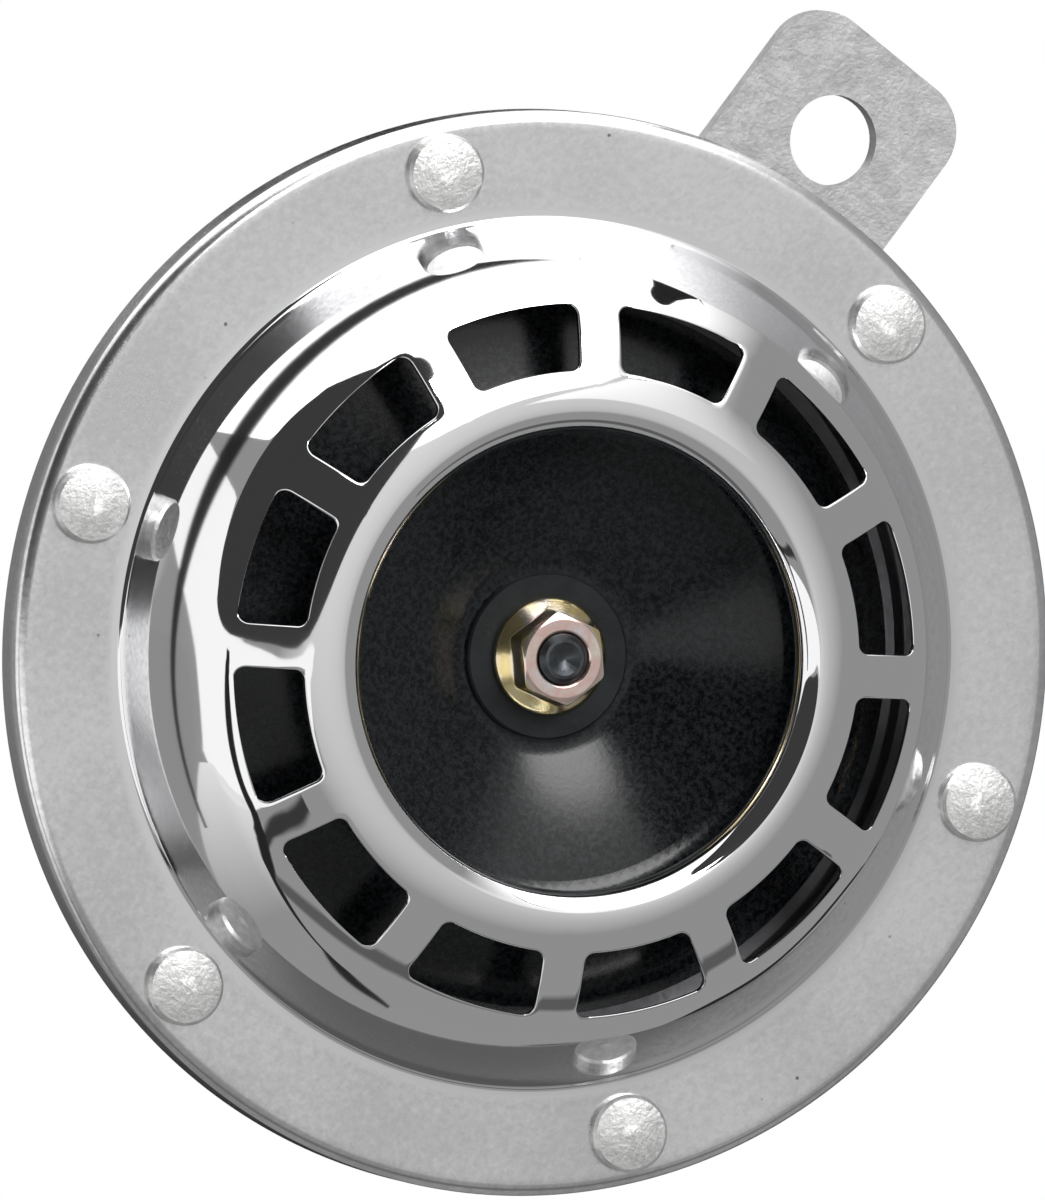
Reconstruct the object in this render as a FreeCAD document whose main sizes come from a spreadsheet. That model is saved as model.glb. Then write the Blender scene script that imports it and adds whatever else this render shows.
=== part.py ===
import FreeCAD, Part
import math
import os

import Sketcher
from types import SimpleNamespace

# A disc horn for a car: a chromed slotted cover riveted over a sheet diaphragm, a dished tone disc
# on the diaphragm, and the magnet and the contact breaker in a stepped cup behind it.
# The origin is the middle of the hole in the mounting bracket. +Z points up along the bracket, and
# the horn's mouth looks along -Y. Each piece is drawn about the horn's own axis, with its sketch
# heights counted forwards from the front face of the cover's flange, and then placed.

SIZES = {
    # Pressed cover
    "flange_width": 13.0,
    "cover_sheet": 1.0,
    "cover_height": 18.5,
    "skirt_depth": 5.5,
    "skirt_bend": 1.5,
    "wall_foot_bend": 2.0,
    "wall_lean": 61.4,
    "crown_bend": 26.0,
    "shoulder_bend": 12.0,
    "shoulder_start": 67.43,
    "mouth_radius": 27.3,
    "lip_bend": 2.7,
    # Slots of the grille, and how far they and the rivets are turned from the bracket
    "slot_count": 12,
    "slot_margin": 7.4,
    "slot_reach": 7.8,
    "slot_corner": 1.2,
    "bar_width": 5.25,
    "grille_turn": 10.7,
    # Rivets round the flange
    "rivet_count": 6,
    "rivet_inset": 6.25,
    "rivet_head_radius": 4.7,
    "rivet_head_height": 1.7,
    "rivet_head_rim": 0.95,
    "rivet_head_edge": 0.4,
    "rivet_shank_radius": 2.4,
    "rivet_tail_radius": 4.0,
    "rivet_tail_height": 1.1,
    "rivet_tail_rim": 0.5,
    "rivet_play": 0.1,
    # Gaskets and diaphragm
    "gasket": 0.8,
    "gasket_inner_gap": 1.0,
    "rim_play": 0.8,
    "diaphragm_sheet": 0.4,
    "groove_margin": 0.8,
    "groove_width": 3.6,
    "groove_depth": 1.0,
    "groove_slope": 1.0,
    "groove_bend": 0.5,
    # Housing cup
    "housing_sheet": 1.2,
    "housing_depth": 22.75,
    "chamber_inset": 4.0,
    "wall_draft": 0.6,
    "ledge_depth": 10.9,
    "ledge_width": 12.2,
    "housing_bend": 1.6,
    "boss_radius": 11.8,
    "boss_proud": 2.0,
    "boss_slope": 2.4,
    # Tone disc and what clamps it
    "disc_sheet": 1.0,
    "disc_seat_height": 3.5,
    "disc_crest_radius": 28.8,
    "disc_crest_height": 9.2,
    "disc_rim_radius": 43.0,
    "disc_rim_height": 3.2,
    "disc_bend": 5.0,
    "disc_washer": 1.0,
    "disc_washer_radius": 10.0,
    "disc_seat_margin": 1.3,
    "stud_radius": 3.0,
    "stud_end": 0.5,
    "stud_chamfer": 0.6,
    "stud_cup_radius": 2.0,
    "stud_cup_depth": 0.8,
    "stud_play": 0.05,
    "flange_nut_across": 10.0,
    "flange_nut_height": 6.0,
    "flange_nut_flange_radius": 7.0,
    "flange_nut_flange": 1.1,
    "flange_nut_neck_radius": 5.3,
    "flange_nut_neck": 2.0,
    "flange_nut_turn": 12.0,
    "spacer_radius": 7.0,
    "clamp_washer_radius": 11.0,
    "clamp_washer": 1.0,
    # Magnet
    "armature_radius": 8.0,
    "armature_height": 5.0,
    "collar_radius": 12.0,
    "collar_height": 2.5,
    "pole_gap": 0.8,
    "core_radius": 8.0,
    "spigot_radius": 4.0,
    "spigot_play": 0.15,
    "spigot_end": 1.75,
    "spigot_chamfer": 0.8,
    "yoke_plate": 2.5,
    "yoke_width": 20.0,
    "yoke_inside": 36.0,
    "yoke_rise": 14.5,
    "bobbin_wall": 1.0,
    "bobbin_flange": 1.2,
    "bobbin_radius": 17.0,
    "bobbin_height": 12.0,
    "coil_radius": 16.2,
    # Wires between coil, contacts and terminals
    "wire_radius": 0.4,
    "wire_bend": 2.5,
    "wire_clearance": 0.35,
    "coil_end_offset": 3.4,
    "coil_end_reach": 32.5,
    "coil_end_side": 12.5,
    "lead_climb": 8.0,
    "lead_shelf": 23.0,
    "part_play": 0.1,
    # Contact breaker
    "stack_wall_gap": 2.4,
    "stack_depth": 7.5,
    "stack_width": 16.0,
    "stack_rivet_inset": 3.7,
    "stack_rivet_pitch": 9.6,
    "stack_rivet_radius": 1.5,
    "stack_rivet_head_radius": 2.5,
    "stack_rivet_head": 1.0,
    "live_hole_radius": 2.3,
    "contact_base": 1.5,
    "lower_insulator": 3.5,
    "fixed_arm": 1.0,
    "fixed_arm_width": 8.0,
    "fixed_arm_margin": 0.5,
    "middle_insulator": 1.6,
    "leaf": 0.4,
    "leaf_width": 7.0,
    "leaf_lap": 2.4,
    "leaf_lug_width": 3.0,
    "leaf_lug_reach": 4.0,
    "upper_insulator": 0.8,
    "point_radius": 2.0,
    "point_offset": 21.0,
    # Adjusting screw
    "adjuster_offset": 27.0,
    "adjuster_radius": 2.5,
    "adjuster_end": 2.2,
    "adjuster_slot": 1.0,
    "adjuster_slot_depth": 1.2,
    "adjuster_tip": 2.0,
    "adjuster_tip_radius": 1.8,
    "bush_radius": 4.0,
    "bush_flange_radius": 5.2,
    "bush_flange": 1.5,
    "lock_nut_across": 8.0,
    "lock_nut_height": 3.0,
    # Terminals
    "terminal_offset": 27.3,
    "terminal_pitch": 14.0,
    "block_width": 25.0,
    "block_depth": 9.6,
    "block_height": 4.0,
    "block_corner": 1.5,
    "block_gasket": 0.5,
    "strip_width": 22.0,
    "strip_depth": 7.0,
    "strip_height": 3.0,
    "blade_width": 6.3,
    "blade_sheet": 0.8,
    "blade_length": 9.5,
    "blade_tip": 1.2,
    "blade_hole_radius": 0.85,
    "blade_foot": 7.0,
    "terminal_rivet_radius": 1.5,
    "terminal_rivet_head_radius": 2.6,
    "terminal_rivet_head": 1.0,
    "terminal_hole_radius": 3.0,
    # Mounting bracket and its fixing
    "bracket_reach": 76.0,
    "bracket_width": 26.5,
    "bracket_sheet": 2.5,
    "bracket_end": 12.9,
    "bracket_foot": 13.25,
    "bracket_corner": 6.5,
    "bracket_hole_radius": 5.5,
    "lock_washer": 2.0,
    "lock_washer_radius": 7.4,
    "lock_washer_split": 1.0,
    "bracket_nut_across": 13.0,
    "bracket_nut_height": 6.5,
}


# Sizes that stay bound to the sheet

class Length:
    """A size from the sheet, or one worked out from such sizes: its value and its expression."""

    def __init__(self, value, text):
        self.value = value
        self.text = text

    def __add__(self, other):
        other = bound(other)
        return Length(self.value + other.value, f"({self.text} + {other.text})")

    def __sub__(self, other):
        other = bound(other)
        return Length(self.value - other.value, f"({self.text} - {other.text})")

    def __mul__(self, other):
        other = bound(other)
        return Length(self.value * other.value, f"({self.text} * {other.text})")

    def __truediv__(self, other):
        other = bound(other)
        return Length(self.value / other.value, f"({self.text} / {other.text})")

    def __neg__(self):
        return Length(-self.value, f"(0 - {self.text})")


def bound(size):
    return size if isinstance(size, Length) else Length(size, str(size))


def sine(angle):
    return Length(math.sin(math.radians(angle.value)), f"sin({angle.text} * 1 deg)")


def cosine(angle):
    return Length(math.cos(math.radians(angle.value)), f"cos({angle.text} * 1 deg)")


def tangent(angle):
    return Length(math.tan(math.radians(angle.value)), f"tan({angle.text} * 1 deg)")


def root(square):
    return Length(math.sqrt(square.value), f"sqrt({square.text})")


doc = FreeCAD.newDocument("CarHorn")
sheet = doc.addObject("Spreadsheet::Sheet", "Sizes")
for row, (alias, number) in enumerate(SIZES.items(), start=1):
    sheet.set(f"A{row}", alias)
    sheet.set(f"B{row}", str(number))
    sheet.setAlias(f"B{row}", alias)
doc.recompute()

# Parts of a turn that no size can change
SIXTH_HALF = 30.0
QUARTER = 90.0
HALF = 180.0

s = SimpleNamespace(**{alias: Length(number, f"Sizes.{alias}") for alias, number in SIZES.items()})
zero = bound(0.0)


# Heights of the stack, counted forwards from the flange's front face

diaphragm_front = -(s.cover_sheet + s.gasket)
diaphragm_back = diaphragm_front - s.diaphragm_sheet
flange_front = diaphragm_back - s.gasket
flange_back = flange_front - s.housing_sheet
ledge_front = flange_front - s.ledge_depth
ledge_back = ledge_front - s.housing_sheet
rear_back = flange_front - s.housing_depth
rear_front = rear_back + s.housing_sheet
boss_back = rear_back - s.boss_proud
boss_front = boss_back + s.housing_sheet
bracket_back = boss_back - s.bracket_sheet
face_ahead = s.bracket_sheet / 2 - boss_back

# Radii of the cover, from its mouth over the dome and down the wall to the flange

wall_tilt = bound(QUARTER) - s.wall_lean
dome_reach = cosine(s.shoulder_start - wall_tilt) * (s.crown_bend - s.shoulder_bend) + s.shoulder_bend
crown_side = tangent(wall_tilt) * (s.cover_height - s.crown_bend)
wall_foot_radius = s.mouth_radius + s.lip_bend + crown_side + dome_reach / cosine(wall_tilt)
slot_inner_radius = s.mouth_radius + s.slot_margin
slot_outer_radius = slot_inner_radius + s.slot_reach

# Radii of the stack, from the foot of the cover's wall outwards and inwards

cover_radius = wall_foot_radius + s.flange_width
rivet_circle_radius = cover_radius - s.rivet_inset
ring_radius = cover_radius - s.cover_sheet - s.rim_play
ring_inner_radius = wall_foot_radius + s.gasket_inner_gap
front_chamber_radius = ring_inner_radius - s.chamber_inset
rear_chamber_radius = front_chamber_radius - s.ledge_width
groove_outer_radius = front_chamber_radius + s.groove_margin
groove_inner_radius = groove_outer_radius - s.groove_width


# Helpers for bodies and sketches

bodies = []


def new_body(name):
    body = doc.addObject("PartDesign::Body", name)
    body.Label = name
    body.AllowCompound = True
    turn = FreeCAD.Rotation(FreeCAD.Vector(1, 0, 0), 90)
    place = FreeCAD.Vector(0, -face_ahead.value, -s.bracket_reach.value)
    body.Placement = FreeCAD.Placement(place, turn)
    body.setExpression("Placement.Base.y", f"0 - {face_ahead.text}")
    body.setExpression("Placement.Base.z", f"0 - {s.bracket_reach.text}")
    bodies.append(body)
    return body


def origin_part(body, role):
    return next(part for part in body.Origin.OriginFeatures if part.Role == role)


def attach(item, body, plane, across=zero, up=zero, off=zero, turn=None):
    """Lays a sketch or a prism on an origin plane, moved in that plane and off it, and turned."""
    item.AttachmentSupport = [(origin_part(body, plane), "")]
    item.MapMode = "FlatFace"
    angle = 0.0 if turn is None else turn.value
    rotation = FreeCAD.Rotation(FreeCAD.Vector(0, 0, 1), angle)
    base = FreeCAD.Vector(across.value, up.value, off.value)
    item.AttachmentOffset = FreeCAD.Placement(base, rotation)
    for axis, size in (("x", across), ("y", up), ("z", off)):
        if size is not zero:
            item.setExpression(f"AttachmentOffset.Base.{axis}", size.text)
    if turn is not None:
        item.setExpression("AttachmentOffset.Rotation.Angle", f"{turn.text} * 1 deg")


def new_sketch(body, name, plane, **places):
    sketch = body.newObject("Sketcher::SketchObject", f"{body.Name}_{name}")
    attach(sketch, body, plane, **places)
    return sketch


def hold(sketch, kind, *places, size):
    """Adds a constraint whose size follows the sheet."""
    index = sketch.addConstraint(Sketcher.Constraint(kind, *places, size.value))
    sketch.setExpression(f"Constraints[{index}]", size.text)


def place_point(sketch, side, end, across=None, up=None):
    """Puts a point at its distance across and its height up, each where it is given."""
    for kind, axis, size in (("DistanceX", -2, across), ("DistanceY", -1, up)):
        if size is zero:
            sketch.addConstraint(Sketcher.Constraint("PointOnObject", side, end, axis))
        elif size is not None:
            hold(sketch, kind, side, end, size=size)


def outline(sketch, corners, domes=()):
    """Closed outline, counter-clockwise. The sides in domes are arcs about the upright axis."""
    first = sketch.GeometryCount
    count = len(corners)
    points = [FreeCAD.Vector(across.value, up.value, 0) for across, up in corners]
    for side in range(count):
        start, end = points[side], points[(side + 1) % count]
        if side in domes:
            height = (end.x**2 + end.y**2 - start.x**2 - start.y**2) / (2 * (end.y - start.y))
            centre = FreeCAD.Vector(0, height, 0)
            circle = Part.Circle(centre, FreeCAD.Vector(0, 0, 1), (start - centre).Length)
            from_angle = math.atan2(start.y - height, start.x)
            to_angle = math.atan2(end.y - height, end.x)
            sketch.addGeometry(Part.ArcOfCircle(circle, from_angle, to_angle), False)
        else:
            sketch.addGeometry(Part.LineSegment(start, end), False)
    for side in range(count):
        after = first + (side + 1) % count
        sketch.addConstraint(Sketcher.Constraint("Coincident", first + side, 2, after, 1))
        if side in domes:
            sketch.addConstraint(Sketcher.Constraint("PointOnObject", first + side, 3, -2))
    for side, (across, up) in enumerate(corners):
        before_across, before_up = corners[side - 1]
        level = before_up.text == up.text
        upright = before_across.text == across.text
        before = first + (side - 1) % count
        if level:
            sketch.addConstraint(Sketcher.Constraint("Horizontal", before))
        if upright:
            sketch.addConstraint(Sketcher.Constraint("Vertical", before))
        place_point(sketch, first + side, 1, None if upright else across, None if level else up)


def circle(sketch, radius, across=zero, up=zero):
    index = sketch.GeometryCount
    centre = FreeCAD.Vector(across.value, up.value, 0)
    sketch.addGeometry(Part.Circle(centre, FreeCAD.Vector(0, 0, 1), radius.value), False)
    place_point(sketch, index, 3, across, up)
    hold(sketch, "Radius", index, size=radius)


def feature(body, kind, name, profile):
    item = body.newObject(f"PartDesign::{kind}", f"{body.Name}_{name}")
    item.Profile = profile
    return item


def revolve(body, name, corners, domes=(), kind="Revolution", **places):
    """Turns an outline in the upright plane through a full circle about its own upright axis."""
    sketch = new_sketch(body, f"{name}_outline", "XZ_Plane", **places)
    outline(sketch, corners, domes)
    turned = feature(body, kind, name, sketch)
    turned.ReferenceAxis = (sketch, ["V_Axis"])
    turned.Angle = 360
    return turned


def pad(body, name, draw, bottom, thickness, turn=None, kind="Pad"):
    """Raises what draw adds to a sketch at the height bottom, by thickness."""
    sketch = new_sketch(body, f"{name}_outline", "XY_Plane", off=bottom, turn=turn)
    draw(sketch)
    raised = feature(body, kind, name, sketch)
    raised.Length = thickness.value
    raised.setExpression("Length", thickness.text)
    return raised


def drill(body, name, draw, top, depth, turn=None):
    """Cuts what draw adds to a sketch at the height top, to depth below it."""
    return pad(body, name, draw, top, depth, turn, kind="Pocket")


def ring(body, name, inner, outer, bottom, thickness):
    def draw(sketch):
        circle(sketch, outer)
        circle(sketch, inner)
    return pad(body, name, draw, bottom, thickness)


def rectangle(sketch, left, right, low, high):
    outline(sketch, [(left, low), (right, low), (right, high), (left, high)])


def round_pattern(body, name, item, count):
    """Repeats a feature all the way round the horn's axis."""
    pattern = body.newObject("PartDesign::PolarPattern", f"{body.Name}_{name}")
    pattern.Originals = [item]
    pattern.Axis = (origin_part(body, "Z_Axis"), [""])
    pattern.Angle = 360
    pattern.Occurrences = int(count.value)
    pattern.setExpression("Occurrences", count.text)
    body.Tip = pattern
    return pattern


def mirrored(body, name, items, plane):
    pattern = body.newObject("PartDesign::Mirrored", f"{body.Name}_{name}")
    pattern.Originals = items
    pattern.MirrorPlane = (origin_part(body, plane), [""])
    body.Tip = pattern
    return pattern


def route(sketch, corners, bend):
    """Straight runs through the corners, joined by tangent arcs. The corners stay as guide lines."""
    points = [FreeCAD.Vector(across.value, up.value, 0) for across, up in corners]
    ways = [(end - start).normalize() for start, end in zip(points, points[1:])]
    runs = len(ways)
    guide = 2 * runs - 1
    starts, ends, turns = [points[0]], [], []
    for corner, before, after in zip(points[1:], ways, ways[1:]):
        trim = bend.value * math.tan(before.getAngle(after) / 2)
        starts.append(corner + after * trim)
        ends.append(corner - before * trim)
        turns.append(before.cross(after).z > 0)
    ends.append(points[-1])
    for start, end in zip(starts, ends):
        sketch.addGeometry(Part.LineSegment(start, end), False)
    for place, leftwards in enumerate(turns):
        way = ways[place] if leftwards else -ways[place]
        centre = ends[place] + FreeCAD.Vector(-way.y, way.x, 0) * bend.value
        rays = [ends[place] - centre, starts[place + 1] - centre]
        if not leftwards:
            rays.reverse()
        first, last = [math.atan2(ray.y, ray.x) for ray in rays]
        if last < first:
            last += math.tau
        arc_circle = Part.Circle(centre, FreeCAD.Vector(0, 0, 1), bend.value)
        sketch.addGeometry(Part.ArcOfCircle(arc_circle, first, last), False)
    for start, end in zip(points, points[1:]):
        sketch.addGeometry(Part.LineSegment(start, end), True)
    for side, (across, up) in enumerate(corners[:-1]):
        place_point(sketch, guide + side, 1, across, up)
        if side > 0:
            sketch.addConstraint(Sketcher.Constraint("Coincident", guide + side - 1, 2, guide + side, 1))
    place_point(sketch, guide + runs - 1, 2, *corners[-1])
    sketch.addConstraint(Sketcher.Constraint("Coincident", 0, 1, guide, 1))
    sketch.addConstraint(Sketcher.Constraint("Coincident", runs - 1, 2, guide + runs - 1, 2))
    for side in range(runs):
        if side > 0:
            sketch.addConstraint(Sketcher.Constraint("PointOnObject", side, 1, guide + side))
        if side < runs - 1:
            sketch.addConstraint(Sketcher.Constraint("PointOnObject", side, 2, guide + side))
    for place, leftwards in enumerate(turns):
        arc = runs + place
        first_end, last_end = (1, 2) if leftwards else (2, 1)
        sketch.addConstraint(Sketcher.Constraint("Tangent", place, 2, arc, first_end))
        sketch.addConstraint(Sketcher.Constraint("Tangent", arc, last_end, place + 1, 1))
        hold(sketch, "Radius", arc, size=bend)


def wire(body, name, section, path):
    """Draws the round section along the path."""
    drawn = feature(body, "AdditivePipe", name, section)
    drawn.Spine = path
    return drawn


def hexagon(body, name, across_flats, bottom, height, across=zero, turn=None):
    prism = body.newObject("PartDesign::AdditivePrism", f"{body.Name}_{name}")
    attach(prism, body, "XY_Plane", across=across, off=bottom, turn=turn)
    prism.Polygon = 6
    corner = across_flats / 2 / cosine(bound(SIXTH_HALF))
    prism.setExpression("Circumradius", corner.text)
    prism.setExpression("Height", height.text)
    doc.recompute()
    return prism


def edge_names(shape, test):
    return [f"Edge{index}" for index, edge in enumerate(shape.Edges, 1) if test(edge)]


def near(one, other, margin=0.02):
    return abs(one - other) < margin


def is_hoop(edge, radius, height):
    """True for a full circle about the horn's axis."""
    curve = edge.Curve
    return (isinstance(curve, Part.Circle) and near(curve.Radius, radius.value)
            and near(curve.Center.z, height.value) and math.hypot(curve.Center.x, curve.Center.y) < 0.01)


def soften(body, name, radius, test):
    """Rounds the edges of the body's last feature that pass the test."""
    doc.recompute()
    base = body.Tip
    chosen = edge_names(base.Shape, test)
    if not chosen:
        raise RuntimeError(f"{body.Name}: no edge to round for {name}")
    rounding = body.newObject("PartDesign::Fillet", f"{body.Name}_{name}")
    rounding.Base = (base, chosen)
    rounding.setExpression("Radius", radius.text)
    body.Tip = rounding
    return rounding


def bevel(body, name, size, test):
    doc.recompute()
    base = body.Tip
    chosen = edge_names(base.Shape, test)
    if not chosen:
        raise RuntimeError(f"{body.Name}: no edge to bevel for {name}")
    slope = body.newObject("PartDesign::Chamfer", f"{body.Name}_{name}")
    slope.Base = (base, chosen)
    slope.setExpression("Size", size.text)
    body.Tip = slope
    return slope


def hoop(radius, height):
    return lambda edge: is_hoop(edge, radius, height)


def press(body, corners, sheet_thickness, bend):
    """Turns the section of a bent sheet. The corners give one face, with the sheet on its left."""
    points = [FreeCAD.Vector(across.value, up.value, 0) for across, up in corners]
    ways = [(end - start).normalize() for start, end in zip(points, points[1:])]
    normals = [FreeCAD.Vector(-way.y, way.x, 0) for way in ways]
    laid = []
    for place, point in enumerate(points):
        before = normals[max(place - 1, 0)]
        after = normals[min(place, len(normals) - 1)]
        laid.append(point + (before + after) * (sheet_thickness.value / (1 + before.dot(after))))
    sketch = new_sketch(body, "section", "XZ_Plane")
    loop = points + laid[::-1]
    for start, end in zip(loop, loop[1:] + loop[:1]):
        sketch.addGeometry(Part.LineSegment(start, end), False)
    for side in range(len(loop)):
        after = (side + 1) % len(loop)
        sketch.addConstraint(Sketcher.Constraint("Coincident", side, 2, after, 1))
    last = len(points) - 1
    level = upright = False
    for side, (across, up) in enumerate(corners):
        place_point(sketch, side, 1, None if upright else across, None if level else up)
        if side == last:
            break
        after_across, after_up = corners[side + 1]
        level = up.text == after_up.text
        upright = across.text == after_across.text
        facing = len(loop) - 2 - side
        if level:
            sketch.addConstraint(Sketcher.Constraint("Horizontal", side))
            sketch.addConstraint(Sketcher.Constraint("Horizontal", facing))
        elif upright:
            sketch.addConstraint(Sketcher.Constraint("Vertical", side))
            sketch.addConstraint(Sketcher.Constraint("Vertical", facing))
        else:
            sketch.addConstraint(Sketcher.Constraint("Parallel", side, facing))
        hold(sketch, "Distance", side, 1, facing, size=sheet_thickness)
    for side, cap in ((0, len(loop) - 1), (last - 1, last)):
        flat = corners[side][1].text == corners[side + 1][1].text
        if flat:
            sketch.addConstraint(Sketcher.Constraint("Vertical", cap))
        else:
            sketch.addConstraint(Sketcher.Constraint("Perpendicular", side, cap))
    turned = feature(body, "Revolution", "turned", sketch)
    turned.ReferenceAxis = (sketch, ["V_Axis"])
    turned.Angle = 360
    tight, wide = [], []
    for place in range(1, last):
        towards_sheet = ways[place - 1].cross(ways[place]).z > 0
        (wide if towards_sheet else tight).append(points[place])
        (tight if towards_sheet else wide).append(laid[place])
    soften(body, "tight_bends", bend, on_hoops(tight))
    soften(body, "wide_bends", bend + sheet_thickness, on_hoops(wide))


def on_hoops(places):
    """True for a full circle about the horn's axis through one of the places of a section."""
    hoops = [hoop(bound(place.x), bound(place.y)) for place in places]
    return lambda edge: any(test(edge) for test in hoops)


# Pressed cover: flange, turned-back skirt, conical wall, domed ring and rolled lip in one sheet

def draw_cover(sketch):
    """Section of the cover's sheet, outside first, from the lip to the skirt and back inside."""
    up = FreeCAD.Vector(0, 0, 1)
    lean = math.radians(wall_tilt.value)
    lip_centre = FreeCAD.Vector((s.mouth_radius + s.lip_bend).value, (s.cover_height - s.lip_bend).value, 0)
    crown_centre = FreeCAD.Vector(lip_centre.x, (s.cover_height - s.crown_bend).value, 0)
    apart = (s.crown_bend - s.shoulder_bend).value
    wall_way = FreeCAD.Vector(math.cos(lean), math.sin(lean), 0)
    joint = math.radians(s.shoulder_start.value)
    shoulder_centre = crown_centre + FreeCAD.Vector(math.cos(joint), math.sin(joint), 0) * apart
    for inset in (0.0, s.cover_sheet.value):
        lip = Part.Circle(lip_centre, up, s.lip_bend.value - inset)
        crown = Part.Circle(crown_centre, up, s.crown_bend.value - inset)
        shoulder = Part.Circle(shoulder_centre, up, s.shoulder_bend.value - inset)
        wall_top = shoulder_centre + wall_way * (s.shoulder_bend.value - inset)
        foot = FreeCAD.Vector(wall_foot_radius.value - inset * math.tan(math.pi / 4 - lean / 2), -inset, 0)
        rim = FreeCAD.Vector(cover_radius.value - inset, -inset, 0)
        hem = FreeCAD.Vector(rim.x, -s.skirt_depth.value, 0)
        sketch.addGeometry([
            Part.ArcOfCircle(lip, math.pi / 2, math.pi),
            Part.ArcOfCircle(crown, joint, math.pi / 2),
            Part.ArcOfCircle(shoulder, lean, joint),
            Part.LineSegment(wall_top, foot),
            Part.LineSegment(foot, rim),
            Part.LineSegment(rim, hem),
        ], False)
    hem_outside = FreeCAD.Vector(cover_radius.value, -s.skirt_depth.value, 0)
    lip_outside = FreeCAD.Vector(s.mouth_radius.value, lip_centre.y, 0)
    lip_inside = lip_outside + FreeCAD.Vector(s.cover_sheet.value, 0, 0)
    sketch.addGeometry([Part.LineSegment(hem_outside, hem), Part.LineSegment(lip_outside, lip_inside)], False)
    for side in (0, 6):
        sketch.addConstraint([
            Sketcher.Constraint("Tangent", side, 1, side + 1, 2),
            Sketcher.Constraint("Tangent", side + 1, 1, side + 2, 2),
            Sketcher.Constraint("Tangent", side + 2, 1, side + 3, 1),
            Sketcher.Constraint("Coincident", side + 3, 2, side + 4, 1),
            Sketcher.Constraint("Coincident", side + 4, 2, side + 5, 1),
            Sketcher.Constraint("Horizontal", side + 4),
            Sketcher.Constraint("Vertical", side + 5),
            Sketcher.Constraint("Horizontal", side, 3, side, 2),
        ])
    sketch.addConstraint([
        Sketcher.Constraint("Coincident", 0, 3, 6, 3),
        Sketcher.Constraint("Coincident", 1, 3, 7, 3),
        Sketcher.Constraint("Coincident", 2, 3, 8, 3),
        Sketcher.Constraint("Parallel", 3, 9),
        Sketcher.Constraint("Vertical", 0, 3, 0, 1),
        Sketcher.Constraint("PointOnObject", 3, 2, -1),
        Sketcher.Constraint("Coincident", 12, 1, 5, 2),
        Sketcher.Constraint("Coincident", 12, 2, 11, 2),
        Sketcher.Constraint("Horizontal", 12),
        Sketcher.Constraint("Coincident", 13, 1, 0, 2),
        Sketcher.Constraint("Coincident", 13, 2, 6, 2),
    ])
    hold(sketch, "Radius", 0, size=s.lip_bend)
    hold(sketch, "Radius", 1, size=s.crown_bend)
    hold(sketch, "Radius", 2, size=s.shoulder_bend)
    hold(sketch, "DistanceX", 3, 2, size=wall_foot_radius)
    hold(sketch, "DistanceX", 4, 2, size=cover_radius)
    hold(sketch, "DistanceY", 5, 2, size=-s.skirt_depth)
    hold(sketch, "DistanceX", 0, 2, size=s.mouth_radius)
    hold(sketch, "DistanceY", 0, 1, size=s.cover_height)
    hold(sketch, "Radius", 8, size=s.shoulder_bend - s.cover_sheet)
    hold(sketch, "DistanceX", 10, 2, size=cover_radius - s.cover_sheet)
    hold(sketch, "DistanceY", 10, 2, size=-s.cover_sheet)
    index = sketch.addConstraint(Sketcher.Constraint("Angle", 3, -math.radians(s.wall_lean.value)))
    sketch.setExpression(f"Constraints[{index}]", f"(0 - {s.wall_lean.text}) * 1 deg")


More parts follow.
